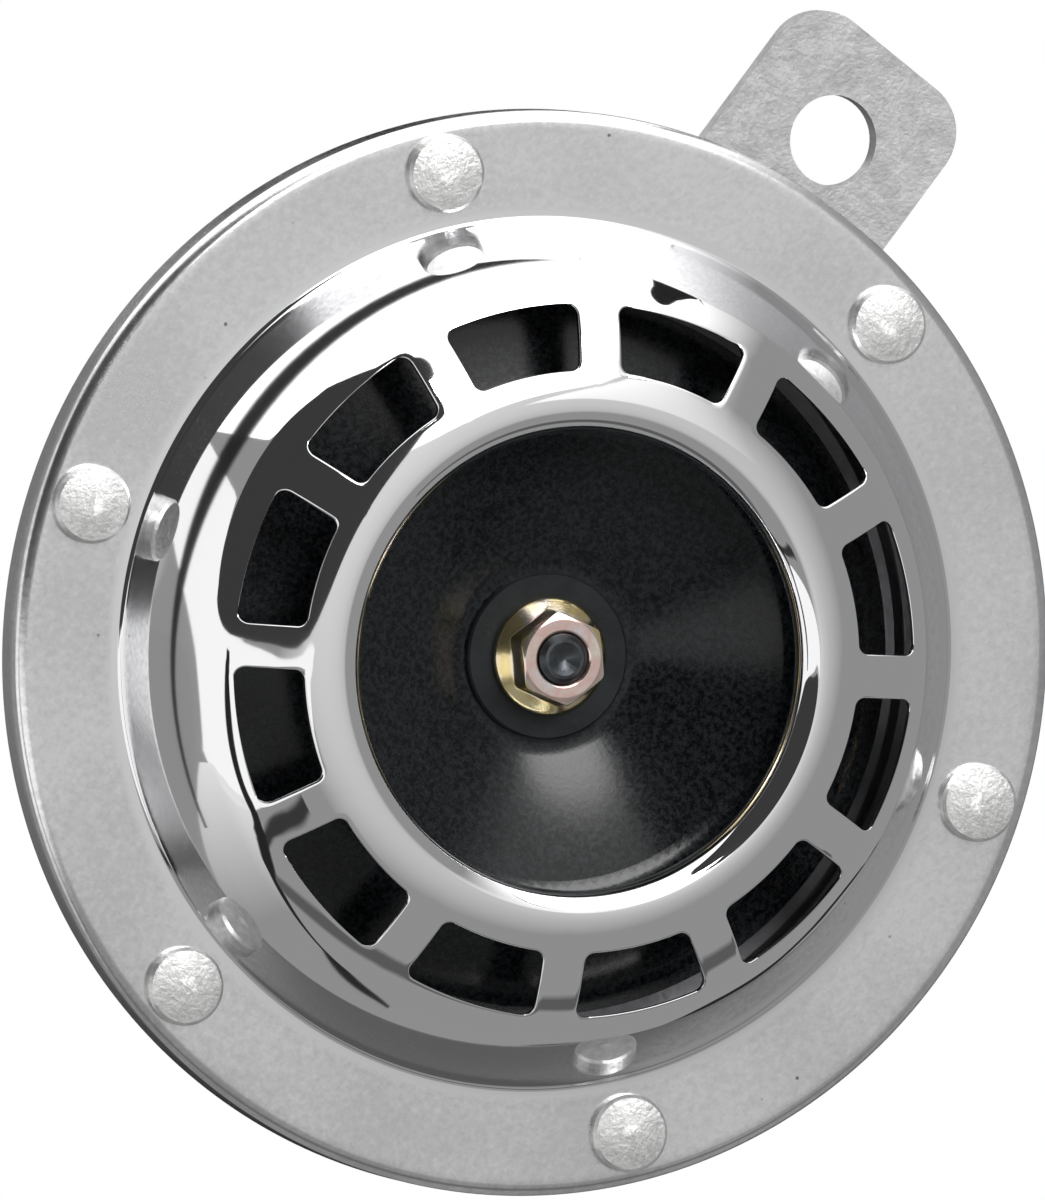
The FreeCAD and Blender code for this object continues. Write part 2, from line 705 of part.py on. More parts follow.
def draw_slot(sketch):
    """One slot, between two bars whose sides run parallel to their own centre lines."""
    half_step = math.pi / s.slot_count.value
    along = FreeCAD.Vector(math.sin(half_step), math.cos(half_step), 0)
    aside = FreeCAD.Vector(-math.cos(half_step), math.sin(half_step), 0)
    up = FreeCAD.Vector(0, 0, 1)
    corner = s.slot_corner.value
    inset = s.bar_width.value / 2 + corner
    outer_reach = slot_outer_radius.value - corner
    inner_reach = slot_inner_radius.value + corner
    outer_centre = along * math.sqrt(outer_reach**2 - inset**2) + aside * inset
    inner_centre = along * math.sqrt(inner_reach**2 - inset**2) + aside * inset
    outer_angle = math.atan2(outer_centre.y, outer_centre.x)
    inner_angle = math.atan2(inner_centre.y, inner_centre.x)
    side_outer = outer_centre - aside * corner
    side_inner = inner_centre - aside * corner

    def left(point):
        return FreeCAD.Vector(-point.x, point.y, 0)

    def arc(centre, radius, start, end):
        return Part.ArcOfCircle(Part.Circle(centre, up, radius), start, end)

    sketch.addGeometry([
        arc(FreeCAD.Vector(), slot_outer_radius.value, outer_angle, math.pi - outer_angle),
        arc(left(outer_centre), corner, math.pi - outer_angle, math.pi + half_step),
        Part.LineSegment(left(side_outer), left(side_inner)),
        arc(left(inner_centre), corner, math.pi + half_step, math.tau - inner_angle),
        arc(FreeCAD.Vector(), slot_inner_radius.value, inner_angle, math.pi - inner_angle),
        arc(inner_centre, corner, math.pi + inner_angle, math.tau - half_step),
        Part.LineSegment(side_inner, side_outer),
        arc(outer_centre, corner, -half_step, outer_angle),
    ], False)
    sketch.addGeometry(Part.LineSegment(FreeCAD.Vector(), along * slot_outer_radius.value), True)
    sketch.addConstraint([
        Sketcher.Constraint("Coincident", 0, 3, -1, 1),
        Sketcher.Constraint("Coincident", 4, 3, -1, 1),
        Sketcher.Constraint("Tangent", 0, 2, 1, 1),
        Sketcher.Constraint("Tangent", 1, 2, 2, 1),
        Sketcher.Constraint("Tangent", 2, 2, 3, 1),
        Sketcher.Constraint("Tangent", 3, 2, 4, 2),
        Sketcher.Constraint("Tangent", 4, 1, 5, 1),
        Sketcher.Constraint("Tangent", 5, 2, 6, 1),
        Sketcher.Constraint("Tangent", 6, 2, 7, 1),
        Sketcher.Constraint("Tangent", 7, 2, 0, 1),
        Sketcher.Constraint("Coincident", 8, 1, -1, 1),
        Sketcher.Constraint("PointOnObject", 8, 2, 0),
        Sketcher.Constraint("Parallel", 6, 8),
        Sketcher.Constraint("Horizontal", 0, 1, 0, 2),
        Sketcher.Constraint("Horizontal", 4, 1, 4, 2),
        Sketcher.Constraint("Equal", 1, 3),
        Sketcher.Constraint("Equal", 3, 5),
        Sketcher.Constraint("Equal", 5, 7),
    ])
    hold(sketch, "Radius", 0, size=slot_outer_radius)
    hold(sketch, "Radius", 4, size=slot_inner_radius)
    hold(sketch, "Radius", 7, size=s.slot_corner)
    hold(sketch, "Distance", -1, 1, 6, size=s.bar_width / 2)
    index = sketch.addConstraint(Sketcher.Constraint("Angle", 8, math.pi / 2 - half_step))
    sketch.setExpression(f"Constraints[{index}]", f"({QUARTER} - {HALF} / {s.slot_count.text}) * 1 deg")


def rivet_holes(body, top, depth):
    def draw(sketch):
        circle(sketch, s.rivet_shank_radius + s.rivet_play, up=rivet_circle_radius)
    hole = drill(body, "rivet_hole", draw, top, depth, turn=-s.grille_turn)
    round_pattern(body, "rivet_holes", hole, s.rivet_count)


def make_grille_cover():
    """The section is turned to lie in a bar, so that the seam of the turned sheet misses every slot."""
    body = new_body("grille_cover")
    sketch = new_sketch(body, "section", "XZ_Plane")
    seam = bound(QUARTER) - s.grille_turn + bound(HALF) / s.slot_count
    sketch.AttachmentOffset = FreeCAD.Placement(FreeCAD.Vector(), FreeCAD.Rotation(FreeCAD.Vector(0, 1, 0), 90))
    sketch.setExpression("AttachmentOffset.Rotation.Angle", f"{seam.text} * 1 deg")
    draw_cover(sketch)
    turned = feature(body, "Revolution", "turned", sketch)
    turned.ReferenceAxis = (sketch, ["V_Axis"])
    turned.Angle = 360
    foot_inside = wall_foot_radius - s.cover_sheet * tangent(s.wall_lean / 2)
    rim_inside = cover_radius - s.cover_sheet
    soften(body, "skirt_bend", s.skirt_bend, hoop(cover_radius, zero))
    soften(body, "skirt_bend_inside", s.skirt_bend - s.cover_sheet, hoop(rim_inside, -s.cover_sheet))
    soften(body, "wall_foot", s.wall_foot_bend, hoop(wall_foot_radius, zero))
    soften(body, "wall_foot_inside", s.wall_foot_bend + s.cover_sheet, hoop(foot_inside, -s.cover_sheet))
    slot = drill(body, "slot", draw_slot, s.cover_height, s.cover_height, turn=-s.grille_turn)
    round_pattern(body, "slots", slot, s.slot_count)
    rivet_holes(body, zero, s.cover_sheet * 2)


# Rivets through flange, gaskets, diaphragm and housing, with flat heads broken at the edge

def make_cover_rivets():
    body = new_body("cover_rivets")
    grip_end = flange_back
    tail_end = grip_end - s.rivet_tail_height
    corners = [
        (zero, tail_end),
        (s.rivet_tail_radius, grip_end - s.rivet_tail_rim),
        (s.rivet_tail_radius, grip_end),
        (s.rivet_shank_radius, grip_end),
        (s.rivet_shank_radius, zero),
        (s.rivet_head_radius, zero),
        (s.rivet_head_radius, s.rivet_head_rim),
        (s.rivet_head_radius - s.rivet_head_edge, s.rivet_head_rim + s.rivet_head_edge),
        (zero, s.rivet_head_height),
    ]
    across = rivet_circle_radius * sine(s.grille_turn)
    away = -(rivet_circle_radius * cosine(s.grille_turn))
    rivet = revolve(body, "rivet", corners, domes=(0, 7), across=across, off=away)
    round_pattern(body, "rivets", rivet, s.rivet_count)


# Fibre gaskets on both sides of the diaphragm

def make_gasket(name, bottom):
    body = new_body(name)
    ring(body, "ring", ring_inner_radius, ring_radius, bottom, s.gasket)
    rivet_holes(body, bottom + s.gasket, s.gasket)


# Diaphragm: thin sheet with one groove near its clamped rim

def make_diaphragm():
    body = new_body("diaphragm")
    groove = diaphragm_front - s.groove_depth
    corners = [
        (ring_radius, diaphragm_front),
        (groove_outer_radius, diaphragm_front),
        (groove_outer_radius - s.groove_slope, groove),
        (groove_inner_radius + s.groove_slope, groove),
        (groove_inner_radius, diaphragm_front),
        (s.stud_radius + s.stud_play, diaphragm_front),
    ]
    press(body, corners, s.diaphragm_sheet, s.groove_bend)
    rivet_holes(body, diaphragm_front, s.diaphragm_sheet)


# Housing: deep-drawn cup with a flange, a ledge for the contacts and a boss for the bracket

def make_housing():
    body = new_body("housing")
    corners = [
        (ring_radius, flange_front),
        (front_chamber_radius, flange_front),
        (front_chamber_radius - s.wall_draft, ledge_front),
        (rear_chamber_radius, ledge_front),
        (rear_chamber_radius - s.wall_draft, rear_front),
        (s.boss_radius + s.boss_slope, rear_front),
        (s.boss_radius, boss_front),
        (s.spigot_radius + s.spigot_play, boss_front),
    ]
    press(body, corners, s.housing_sheet, s.housing_bend)
    rivet_holes(body, flange_front, s.housing_sheet)

    def draw_stack_holes(sketch):
        for side in (s.stack_rivet_pitch / 2, -(s.stack_rivet_pitch / 2)):
            circle(sketch, s.stack_rivet_radius + s.part_play, stack_rivet_offset, side)

    def draw_adjuster_hole(sketch):
        circle(sketch, s.bush_radius + s.part_play, s.adjuster_offset)

    def draw_terminal_holes(sketch):
        for side in (s.terminal_pitch / 2, -(s.terminal_pitch / 2)):
            circle(sketch, s.terminal_hole_radius, side, -s.terminal_offset)

    drill(body, "stack_holes", draw_stack_holes, ledge_front, s.housing_sheet)
    drill(body, "adjuster_hole", draw_adjuster_hole, rear_front, s.housing_sheet)
    drill(body, "terminal_holes", draw_terminal_holes, rear_front, s.housing_sheet)


# Tone disc: dished sheet, flat under its washer, with a crest and a falling rim

disc_seat_back = s.disc_seat_height - s.disc_sheet
nut_seat = s.disc_seat_height + s.disc_washer
nut_top = nut_seat + s.flange_nut_height
stud_top = nut_top + s.stud_end


def make_tone_disc():
    body = new_body("tone_disc")
    corners = [
        (s.disc_rim_radius, s.disc_rim_height),
        (s.disc_crest_radius, s.disc_crest_height),
        (s.disc_washer_radius + s.disc_seat_margin, s.disc_seat_height),
        (s.stud_radius + s.stud_play, s.disc_seat_height),
    ]
    press(body, corners, s.disc_sheet, s.disc_bend)


def make_plain_ring(name, outer, bottom, thickness, chamfer=None):
    body = new_body(name)
    inner = s.stud_radius + s.stud_play
    ring(body, "ring", inner, outer, bottom, thickness)
    if chamfer is not None:
        bevel(body, "edge", chamfer, hoop(outer, bottom + thickness))


def make_flange_nut():
    body = new_body("flange_nut")
    bore = s.stud_radius + s.stud_play
    neck_top = nut_seat + s.flange_nut_neck
    corners = [
        (bore, nut_seat),
        (s.flange_nut_flange_radius, nut_seat),
        (s.flange_nut_flange_radius, nut_seat + s.flange_nut_flange),
        (s.flange_nut_neck_radius, neck_top),
        (bore, neck_top),
    ]
    revolve(body, "flange", corners)
    hexagon(body, "hexagon", s.flange_nut_across, nut_seat, s.flange_nut_height, turn=s.flange_nut_turn)
    crown_nut(body, s.flange_nut_across, nut_top, bore)


def crown_nut(body, across_flats, top, bore, across=zero, below=False):
    """Chamfers the corners of a nut at its end, and bores it."""
    flat = across_flats / 2
    rise = across_flats * (-0.12 if below else 0.12)
    corners = [(flat * 0.95, top), (flat * 1.25, top - rise), (flat * 1.25, top)]
    if below:
        corners = [corners[0], corners[2], corners[1]]
    revolve(body, "corner_cut", corners, kind="Groove", across=across)
    hole_corners = [
        (zero, top - across_flats * 2),
        (bore, top - across_flats * 2),
        (bore, top + across_flats * 2),
        (zero, top + across_flats * 2),
    ]
    revolve(body, "bore", hole_corners, kind="Groove", across=across)


def make_centre_stud():
    body = new_body("centre_stud")
    bottom = armature_back + s.stud_chamfer
    cup_floor = stud_top - s.stud_cup_depth
    corners = [
        (zero, bottom),
        (s.stud_radius, bottom),
        (s.stud_radius, stud_top - s.stud_chamfer),
        (s.stud_radius - s.stud_chamfer, stud_top),
        (s.stud_cup_radius, stud_top),
        (zero, cup_floor),
    ]
    revolve(body, "stud", corners)


# Armature: steel slug with a collar that works the contact leaf

washer_back = diaphragm_back - s.clamp_washer
armature_back = washer_back - s.armature_height
pole_face = armature_back - s.pole_gap


def make_armature():
    body = new_body("armature")
    bore = s.stud_radius + s.stud_play
    collar_back = washer_back - s.collar_height
    corners = [
        (bore, armature_back),
        (s.armature_radius, armature_back),
        (s.armature_radius, collar_back),
        (s.collar_radius, collar_back),
        (s.collar_radius, washer_back),
        (bore, washer_back),
    ]
    revolve(body, "slug", corners)


# Magnet: core with the threaded spigot, U-shaped yoke, bobbin and winding

spigot_back = bracket_back - s.lock_washer - s.bracket_nut_height - s.spigot_end
yoke_front = rear_front + s.yoke_plate
bobbin_front = yoke_front + s.bobbin_height
core_hole = s.core_radius + s.part_play


def make_pole_core():
    body = new_body("pole_core")
    corners = [
        (zero, spigot_back),
        (s.spigot_radius - s.spigot_chamfer, spigot_back),
        (s.spigot_radius, spigot_back + s.spigot_chamfer),
        (s.spigot_radius, boss_front),
        (s.core_radius, boss_front),
        (s.core_radius, pole_face),
        (zero, pole_face),
    ]
    revolve(body, "core", corners)


def make_magnet_yoke():
    body = new_body("magnet_yoke")
    half_inside = s.yoke_inside / 2
    half_outside = half_inside + s.yoke_plate
    half_width = s.yoke_width / 2

    def draw_base(sketch):
        rectangle(sketch, -half_width, half_width, -half_outside, half_outside)
        circle(sketch, core_hole)

    def draw_leg(sketch):
        rectangle(sketch, -half_width, half_width, half_inside, half_outside)

    pad(body, "base", draw_base, rear_front, s.yoke_plate)
    leg = pad(body, "leg", draw_leg, yoke_front, s.yoke_rise - s.yoke_plate)
    mirrored(body, "legs", [leg], "XZ_Plane")


def make_coil_bobbin():
    body = new_body("coil_bobbin")
    tube = core_hole + s.bobbin_wall
    corners = [
        (core_hole, yoke_front),
        (s.bobbin_radius, yoke_front),
        (s.bobbin_radius, yoke_front + s.bobbin_flange),
        (tube, yoke_front + s.bobbin_flange),
        (tube, bobbin_front - s.bobbin_flange),
        (s.bobbin_radius, bobbin_front - s.bobbin_flange),
        (s.bobbin_radius, bobbin_front),
        (core_hole, bobbin_front),
    ]
    revolve(body, "bobbin", corners)


def make_coil_winding():
    body = new_body("coil_winding")
    inner = core_hole + s.bobbin_wall + s.part_play
    height = s.bobbin_height - s.bobbin_flange * 2
    ring(body, "winding", inner, s.coil_radius, yoke_front + s.bobbin_flange, height)
    inside = (inner + s.coil_radius) / 2

    section = new_sketch(body, "contact_end_section", "XY_Plane", off=arm_back)
    circle(section, s.wire_radius, s.coil_end_reach, -s.coil_end_offset)
    path = new_sketch(body, "contact_end_path", "XZ_Plane", off=s.coil_end_offset)
    level = bobbin_front - s.bobbin_flange - s.wire_clearance - s.wire_radius
    route(path, [(s.coil_end_reach, arm_back), (s.coil_end_reach, level), (inside, level)], s.wire_bend)
    wire(body, "contact_end", section, path)

    section = new_sketch(body, "terminal_end_section", "XZ_Plane", off=inner)
    circle(section, s.wire_radius, -s.coil_end_side, lead_level)
    path = new_sketch(body, "terminal_end_path", "XY_Plane", off=lead_level)
    past_rivet = s.terminal_rivet_head_radius - s.terminal_pitch / 2
    route(path, [(-s.coil_end_side, -inner), (-s.coil_end_side, -s.terminal_offset),
                 (past_rivet, -s.terminal_offset)], s.wire_bend)
    wire(body, "terminal_end", section, path)


def make_lead_wire():
    """From the other terminal's rivet, in one upright plane, to the underside of the leaf's lug."""
    body = new_body("lead_wire")
    lug_across = stack_inner + s.leaf_lug_width / 2
    lug_up = -(s.stack_width / 2 + s.leaf_lug_reach / 2)
    run = lug_across - s.terminal_pitch / 2
    climb = lug_up + s.terminal_offset
    reach = root(run * run + climb * climb)
    shelf = ledge_front + s.wire_clearance + s.wire_radius
    section = new_sketch(body, "section", "XY_Plane", off=leaf_back)
    circle(section, s.wire_radius, lug_across, lug_up)
    path = new_sketch(body, "path", "XZ_Plane", across=s.terminal_pitch / 2, off=s.terminal_offset)
    angle = math.degrees(math.atan2(climb.value, run.value))
    turn = FreeCAD.Rotation(FreeCAD.Vector(0, 1, 0), angle)
    path.AttachmentOffset = FreeCAD.Placement(path.AttachmentOffset.Base, turn)
    path.setExpression("AttachmentOffset.Rotation.Angle", f"atan({climb.text} / {run.text})")
    route(path, [(reach, leaf_back), (reach, shelf), (s.lead_shelf, shelf), (s.lead_climb, lead_level),
                 (-s.terminal_rivet_head_radius, lead_level)], s.wire_bend)
    wire(body, "lead", section, path)


# Contact breaker: a riveted stack on the housing's ledge, with a fixed arm and a spring leaf

stack_outer = front_chamber_radius - s.wall_draft - s.stack_wall_gap
stack_inner = stack_outer - s.stack_depth
stack_rivet_offset = stack_outer - s.stack_rivet_inset
arm_tip = s.point_offset - s.point_radius - s.fixed_arm_margin
leaf_tip = s.collar_radius - s.leaf_lap
base_front = ledge_front + s.contact_base
arm_back = base_front + s.lower_insulator
arm_front = arm_back + s.fixed_arm
leaf_back = arm_front + s.middle_insulator
leaf_front = leaf_back + s.leaf
stack_front = leaf_front + s.upper_insulator


def stack_plate(name, bottom, thickness, hole_radius, tip=None, tip_width=None):
    """One layer of the contact stack, with or without a tongue towards the armature."""
    body = new_body(name)
    half = s.stack_width / 2

    def draw(sketch):
        if tip is None:
            rectangle(sketch, stack_inner, stack_outer, -half, half)
        else:
            tongue = tip_width / 2
            outline(sketch, [
                (tip, -tongue), (stack_inner, -tongue), (stack_inner, -half),
                (stack_outer, -half), (stack_outer, half), (stack_inner, half),
                (stack_inner, tongue), (tip, tongue)])
        for side in (s.stack_rivet_pitch / 2, -(s.stack_rivet_pitch / 2)):
            circle(sketch, hole_radius, stack_rivet_offset, side)

    pad(body, "plate", draw, bottom, thickness)
    return body


def make_contact_breaker():
    snug = s.stack_rivet_radius + s.part_play
    stack_plate("contact_base", ledge_front, s.contact_base, snug)
    stack_plate("contact_insulator_lower", base_front, s.lower_insulator, snug)
    stack_plate("fixed_contact_arm", arm_back, s.fixed_arm, s.live_hole_radius,
                arm_tip, s.fixed_arm_width)
    stack_plate("contact_insulator_middle", arm_front, s.middle_insulator, snug)
    leaf = stack_plate("contact_leaf_spring", leaf_back, s.leaf, s.live_hole_radius, leaf_tip, s.leaf_width)

    def draw_lug(sketch):
        edge = -(s.stack_width / 2)
        rectangle(sketch, stack_inner, stack_inner + s.leaf_lug_width, edge - s.leaf_lug_reach, edge)

    pad(leaf, "lug", draw_lug, leaf_back, s.leaf)
    stack_plate("contact_insulator_upper", leaf_front, s.upper_insulator, snug)
    half_gap = s.middle_insulator / 2
    for name, bottom in (("fixed_contact_point", arm_front), ("moving_contact_point", arm_front + half_gap)):
        body = new_body(name)
        pad(body, "point", lambda sketch: circle(sketch, s.point_radius, s.point_offset), bottom, half_gap)


def make_contact_rivets():
    body = new_body("contact_rivets")
    tail = ledge_back - s.stack_rivet_head
    corners = [
        (zero, tail),
        (s.stack_rivet_head_radius, tail),
        (s.stack_rivet_head_radius, ledge_back),
        (s.stack_rivet_radius, ledge_back),
        (s.stack_rivet_radius, stack_front),
        (s.stack_rivet_head_radius, stack_front),
        (s.stack_rivet_head_radius, stack_front + s.stack_rivet_head),
        (zero, stack_front + s.stack_rivet_head),
    ]
    rivet = revolve(body, "rivet", corners, across=stack_rivet_offset, off=-(s.stack_rivet_pitch / 2))
    mirrored(body, "rivets", [rivet], "XZ_Plane")


# Adjusting screw with its insulating tip, threaded bush and lock nut

adjuster_back = rear_back - s.lock_nut_height - s.adjuster_end
thread_bore = s.adjuster_radius + s.stud_play


def make_adjuster():
    body = new_body("adjusting_screw")
    screw_front = arm_back - s.adjuster_tip
    corners = [
        (zero, adjuster_back),
        (s.adjuster_radius, adjuster_back),
        (s.adjuster_radius, screw_front),
        (zero, screw_front),
    ]
    revolve(body, "screw", corners, across=s.adjuster_offset)
    reach = s.adjuster_radius * 1.2

    def draw_slot_cut(sketch):
        rectangle(sketch, s.adjuster_offset - s.adjuster_slot / 2, s.adjuster_offset + s.adjuster_slot / 2,
                  -reach, reach)

    drill(body, "slot", draw_slot_cut, adjuster_back + s.adjuster_slot_depth, s.adjuster_slot_depth)

    body = new_body("adjuster_tip")
    pad(body, "tip", lambda sketch: circle(sketch, s.adjuster_tip_radius, s.adjuster_offset),
        screw_front, s.adjuster_tip)

    body = new_body("adjuster_bush")
    corners = [
        (thread_bore, rear_back),
        (s.bush_radius, rear_back),
        (s.bush_radius, rear_front),
        (s.bush_flange_radius, rear_front),
        (s.bush_flange_radius, rear_front + s.bush_flange),
        (thread_bore, rear_front + s.bush_flange),
    ]
    revolve(body, "bush", corners, across=s.adjuster_offset)

    body = new_body("adjuster_lock_nut")
    bottom = rear_back - s.lock_nut_height
    hexagon(body, "hexagon", s.lock_nut_across, bottom, s.lock_nut_height, across=s.adjuster_offset)
    crown_nut(body, s.lock_nut_across, bottom, thread_bore, across=s.adjuster_offset, below=True)


# Terminals: two blades riveted to a moulded block on the rear wall

gasket_back = rear_back - s.block_gasket
block_back = gasket_back - s.block_height
foot_back = block_back - s.blade_sheet
strip_front = rear_front + s.strip_height
lead_level = strip_front + s.terminal_rivet_head + s.wire_radius


def terminal_plate(name, width, depth, bottom, thickness, corner=None):
    body = new_body(name)

    def draw(sketch):
        rectangle(sketch, -(width / 2), width / 2,
                  -s.terminal_offset - depth / 2, depth / 2 - s.terminal_offset)
        for side in (s.terminal_pitch / 2, -(s.terminal_pitch / 2)):
            circle(sketch, s.terminal_rivet_radius + s.part_play, side, -s.terminal_offset)

    pad(body, "plate", draw, bottom, thickness)
    if corner is not None:
        soften(body, "corners", corner, is_upright)


def is_upright(edge):
    return isinstance(edge.Curve, Part.Line) and near(abs(edge.tangentAt(edge.FirstParameter).z), 1)


def make_spade_terminals():
    body = new_body("spade_terminals")
    middle = s.terminal_pitch / 2
    half_foot = s.blade_foot / 2
    foot_low = -s.terminal_offset - half_foot
    blade_back = foot_back - s.blade_length

    def draw_foot(sketch):
        rectangle(sketch, middle - half_foot, middle + half_foot, foot_low,
                  half_foot - s.terminal_offset)
        circle(sketch, s.terminal_rivet_radius + s.part_play, middle, -s.terminal_offset)

    foot = pad(body, "foot", draw_foot, foot_back, s.blade_sheet)
    half_blade = s.blade_width / 2
    sketch = new_sketch(body, "blade_outline", "XZ_Plane", off=-foot_low)
    outline(sketch, [
        (middle - half_blade, blade_back + s.blade_tip),
        (middle - half_blade + s.blade_tip, blade_back),
        (middle + half_blade - s.blade_tip, blade_back),
        (middle + half_blade, blade_back + s.blade_tip),
        (middle + half_blade, block_back),
        (middle - half_blade, block_back),
    ])
    circle(sketch, s.blade_hole_radius, middle, blade_back + s.blade_length / 3)
    blade = feature(body, "Pad", "blade", sketch)
    blade.setExpression("Length", s.blade_sheet.text)
    blade.Reversed = True
    mirrored(body, "pair", [foot, blade], "YZ_Plane")


def make_terminal_rivets():
    body = new_body("terminal_rivets")
    tail = foot_back - s.terminal_rivet_head
    head = strip_front + s.terminal_rivet_head
    corners = [
        (zero, tail),
        (s.terminal_rivet_head_radius, tail),
        (s.terminal_rivet_head_radius, foot_back),
        (s.terminal_rivet_radius, foot_back),
        (s.terminal_rivet_radius, strip_front),
        (s.terminal_rivet_head_radius, strip_front),
        (s.terminal_rivet_head_radius, head),
        (zero, head),
    ]
    rivet = revolve(body, "rivet", corners, across=s.terminal_pitch / 2, off=s.terminal_offset)
    mirrored(body, "rivets", [rivet], "YZ_Plane")


# Mounting bracket: a flat steel strip, with its split washer and nut

def make_mounting_bracket():
    body = new_body("mounting_bracket")
    half = s.bracket_width / 2

    def draw(sketch):
        rectangle(sketch, -half, half, -s.bracket_foot, s.bracket_reach + s.bracket_end)
        circle(sketch, s.spigot_radius + s.spigot_play)
        circle(sketch, s.bracket_hole_radius, up=s.bracket_reach)

    pad(body, "strip", draw, bracket_back, s.bracket_sheet)
    soften(body, "corners", s.bracket_corner, is_upright)


def make_bracket_lock_washer():
    body = new_body("bracket_lock_washer")
    ring(body, "ring", s.spigot_radius + s.spigot_play, s.lock_washer_radius,
         bracket_back - s.lock_washer, s.lock_washer)
    half = s.lock_washer_split / 2

    def draw(sketch):
        rectangle(sketch, -half, half, s.spigot_radius / 2, s.lock_washer_radius * 1.2)

    drill(body, "split", draw, bracket_back, s.lock_washer)


def make_bracket_nut():
    body = new_body("bracket_nut")
    bottom = bracket_back - s.lock_washer - s.bracket_nut_height
    hexagon(body, "hexagon", s.bracket_nut_across, bottom, s.bracket_nut_height)
    crown_nut(body, s.bracket_nut_across, bottom, s.spigot_radius + s.stud_play, below=True)


make_grille_cover()
make_cover_rivets()
make_gasket("front_gasket", diaphragm_front)
make_gasket("rear_gasket", flange_front)
make_diaphragm()
make_housing()
make_tone_disc()
make_plain_ring("tone_disc_washer", s.disc_washer_radius, s.disc_seat_height, s.disc_washer,
                s.disc_washer / 4)
make_flange_nut()
make_centre_stud()
make_plain_ring("tone_disc_spacer", s.spacer_radius, diaphragm_front + s.clamp_washer,
                disc_seat_back - diaphragm_front - s.clamp_washer)
make_plain_ring("front_clamp_washer", s.clamp_washer_radius, diaphragm_front, s.clamp_washer)
make_plain_ring("rear_clamp_washer", s.clamp_washer_radius, washer_back, s.clamp_washer)
make_armature()
make_pole_core()
make_magnet_yoke()
make_coil_bobbin()
make_coil_winding()
make_lead_wire()
make_contact_breaker()
make_contact_rivets()
make_adjuster()
terminal_plate("terminal_gasket", s.block_width, s.block_depth, gasket_back, s.block_gasket,
               s.block_corner)
terminal_plate("terminal_block", s.block_width, s.block_depth, block_back, s.block_height,
               s.block_corner)
terminal_plate("terminal_strip_inner", s.strip_width, s.strip_depth, rear_front, s.strip_height)
make_spade_terminals()
make_terminal_rivets()
make_mounting_bracket()
make_bracket_lock_washer()
make_bracket_nut()
doc.recompute()


# Checks, then one file for each piece

for item in doc.Objects:
    if "Invalid" in item.State or "Error" in item.State:
        raise RuntimeError(f"{item.Label} failed: {item.State}")
for body in bodies:
    if body.Shape.isNull() or not body.Shape.isValid() or not body.Shape.Solids:
        raise RuntimeError(f"{body.Label} has no valid shape")
os.makedirs("parts", exist_ok=True)
for body in bodies:
    body.Shape.exportStep(f"parts/{body.Label}.step")
    print(f"{body.Label}: {len(body.Shape.Solids)} solid(s), {body.Shape.Volume:.1f} mm3")
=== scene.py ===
import math

import bmesh
import bpy
from mathutils import Matrix, Vector
from mathutils.geometry import delaunay_2d_cdt


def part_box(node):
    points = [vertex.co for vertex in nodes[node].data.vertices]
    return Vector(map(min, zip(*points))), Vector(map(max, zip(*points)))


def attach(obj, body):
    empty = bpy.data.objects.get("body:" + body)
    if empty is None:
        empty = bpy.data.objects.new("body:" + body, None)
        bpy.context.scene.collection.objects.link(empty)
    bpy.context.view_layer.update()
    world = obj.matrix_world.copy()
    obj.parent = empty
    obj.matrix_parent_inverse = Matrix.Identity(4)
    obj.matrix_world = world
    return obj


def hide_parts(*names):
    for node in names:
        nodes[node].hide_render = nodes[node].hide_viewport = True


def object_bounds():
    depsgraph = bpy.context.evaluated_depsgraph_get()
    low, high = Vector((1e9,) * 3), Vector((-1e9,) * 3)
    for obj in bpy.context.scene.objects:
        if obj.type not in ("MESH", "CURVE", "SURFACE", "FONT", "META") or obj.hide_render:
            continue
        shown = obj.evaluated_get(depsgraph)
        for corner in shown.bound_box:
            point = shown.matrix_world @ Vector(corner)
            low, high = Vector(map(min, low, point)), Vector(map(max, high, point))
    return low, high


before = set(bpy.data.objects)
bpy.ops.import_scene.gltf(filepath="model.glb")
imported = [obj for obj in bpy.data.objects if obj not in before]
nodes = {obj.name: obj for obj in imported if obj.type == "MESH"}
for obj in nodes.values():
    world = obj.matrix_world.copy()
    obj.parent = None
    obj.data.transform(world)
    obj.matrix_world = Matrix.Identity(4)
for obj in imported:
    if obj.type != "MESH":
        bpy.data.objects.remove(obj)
cad_low, cad_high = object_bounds()


# The camera looks up at the horn from a little below and from its left, and is rolled so that the
# bracket leans to the right. A long lens from three metres keeps the perspective of the photograph.

face_low, face_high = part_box("front_gasket")
horn_centre = (face_low + face_high) / 2
flange_middle = Vector((horn_centre.x, face_low.y, horn_centre.z))
camera_azimuth = math.radians(-16.27)
camera_elevation = math.radians(-8.45)
camera_roll = math.radians(36.3)
camera_distance = 3.0
camera_reach = 20.0
photo_height = 1200
pixels_per_metre = 8370.0
flange_right_of_middle = 11.2 / pixels_per_metre
flange_below_middle = 53.7 / pixels_per_metre

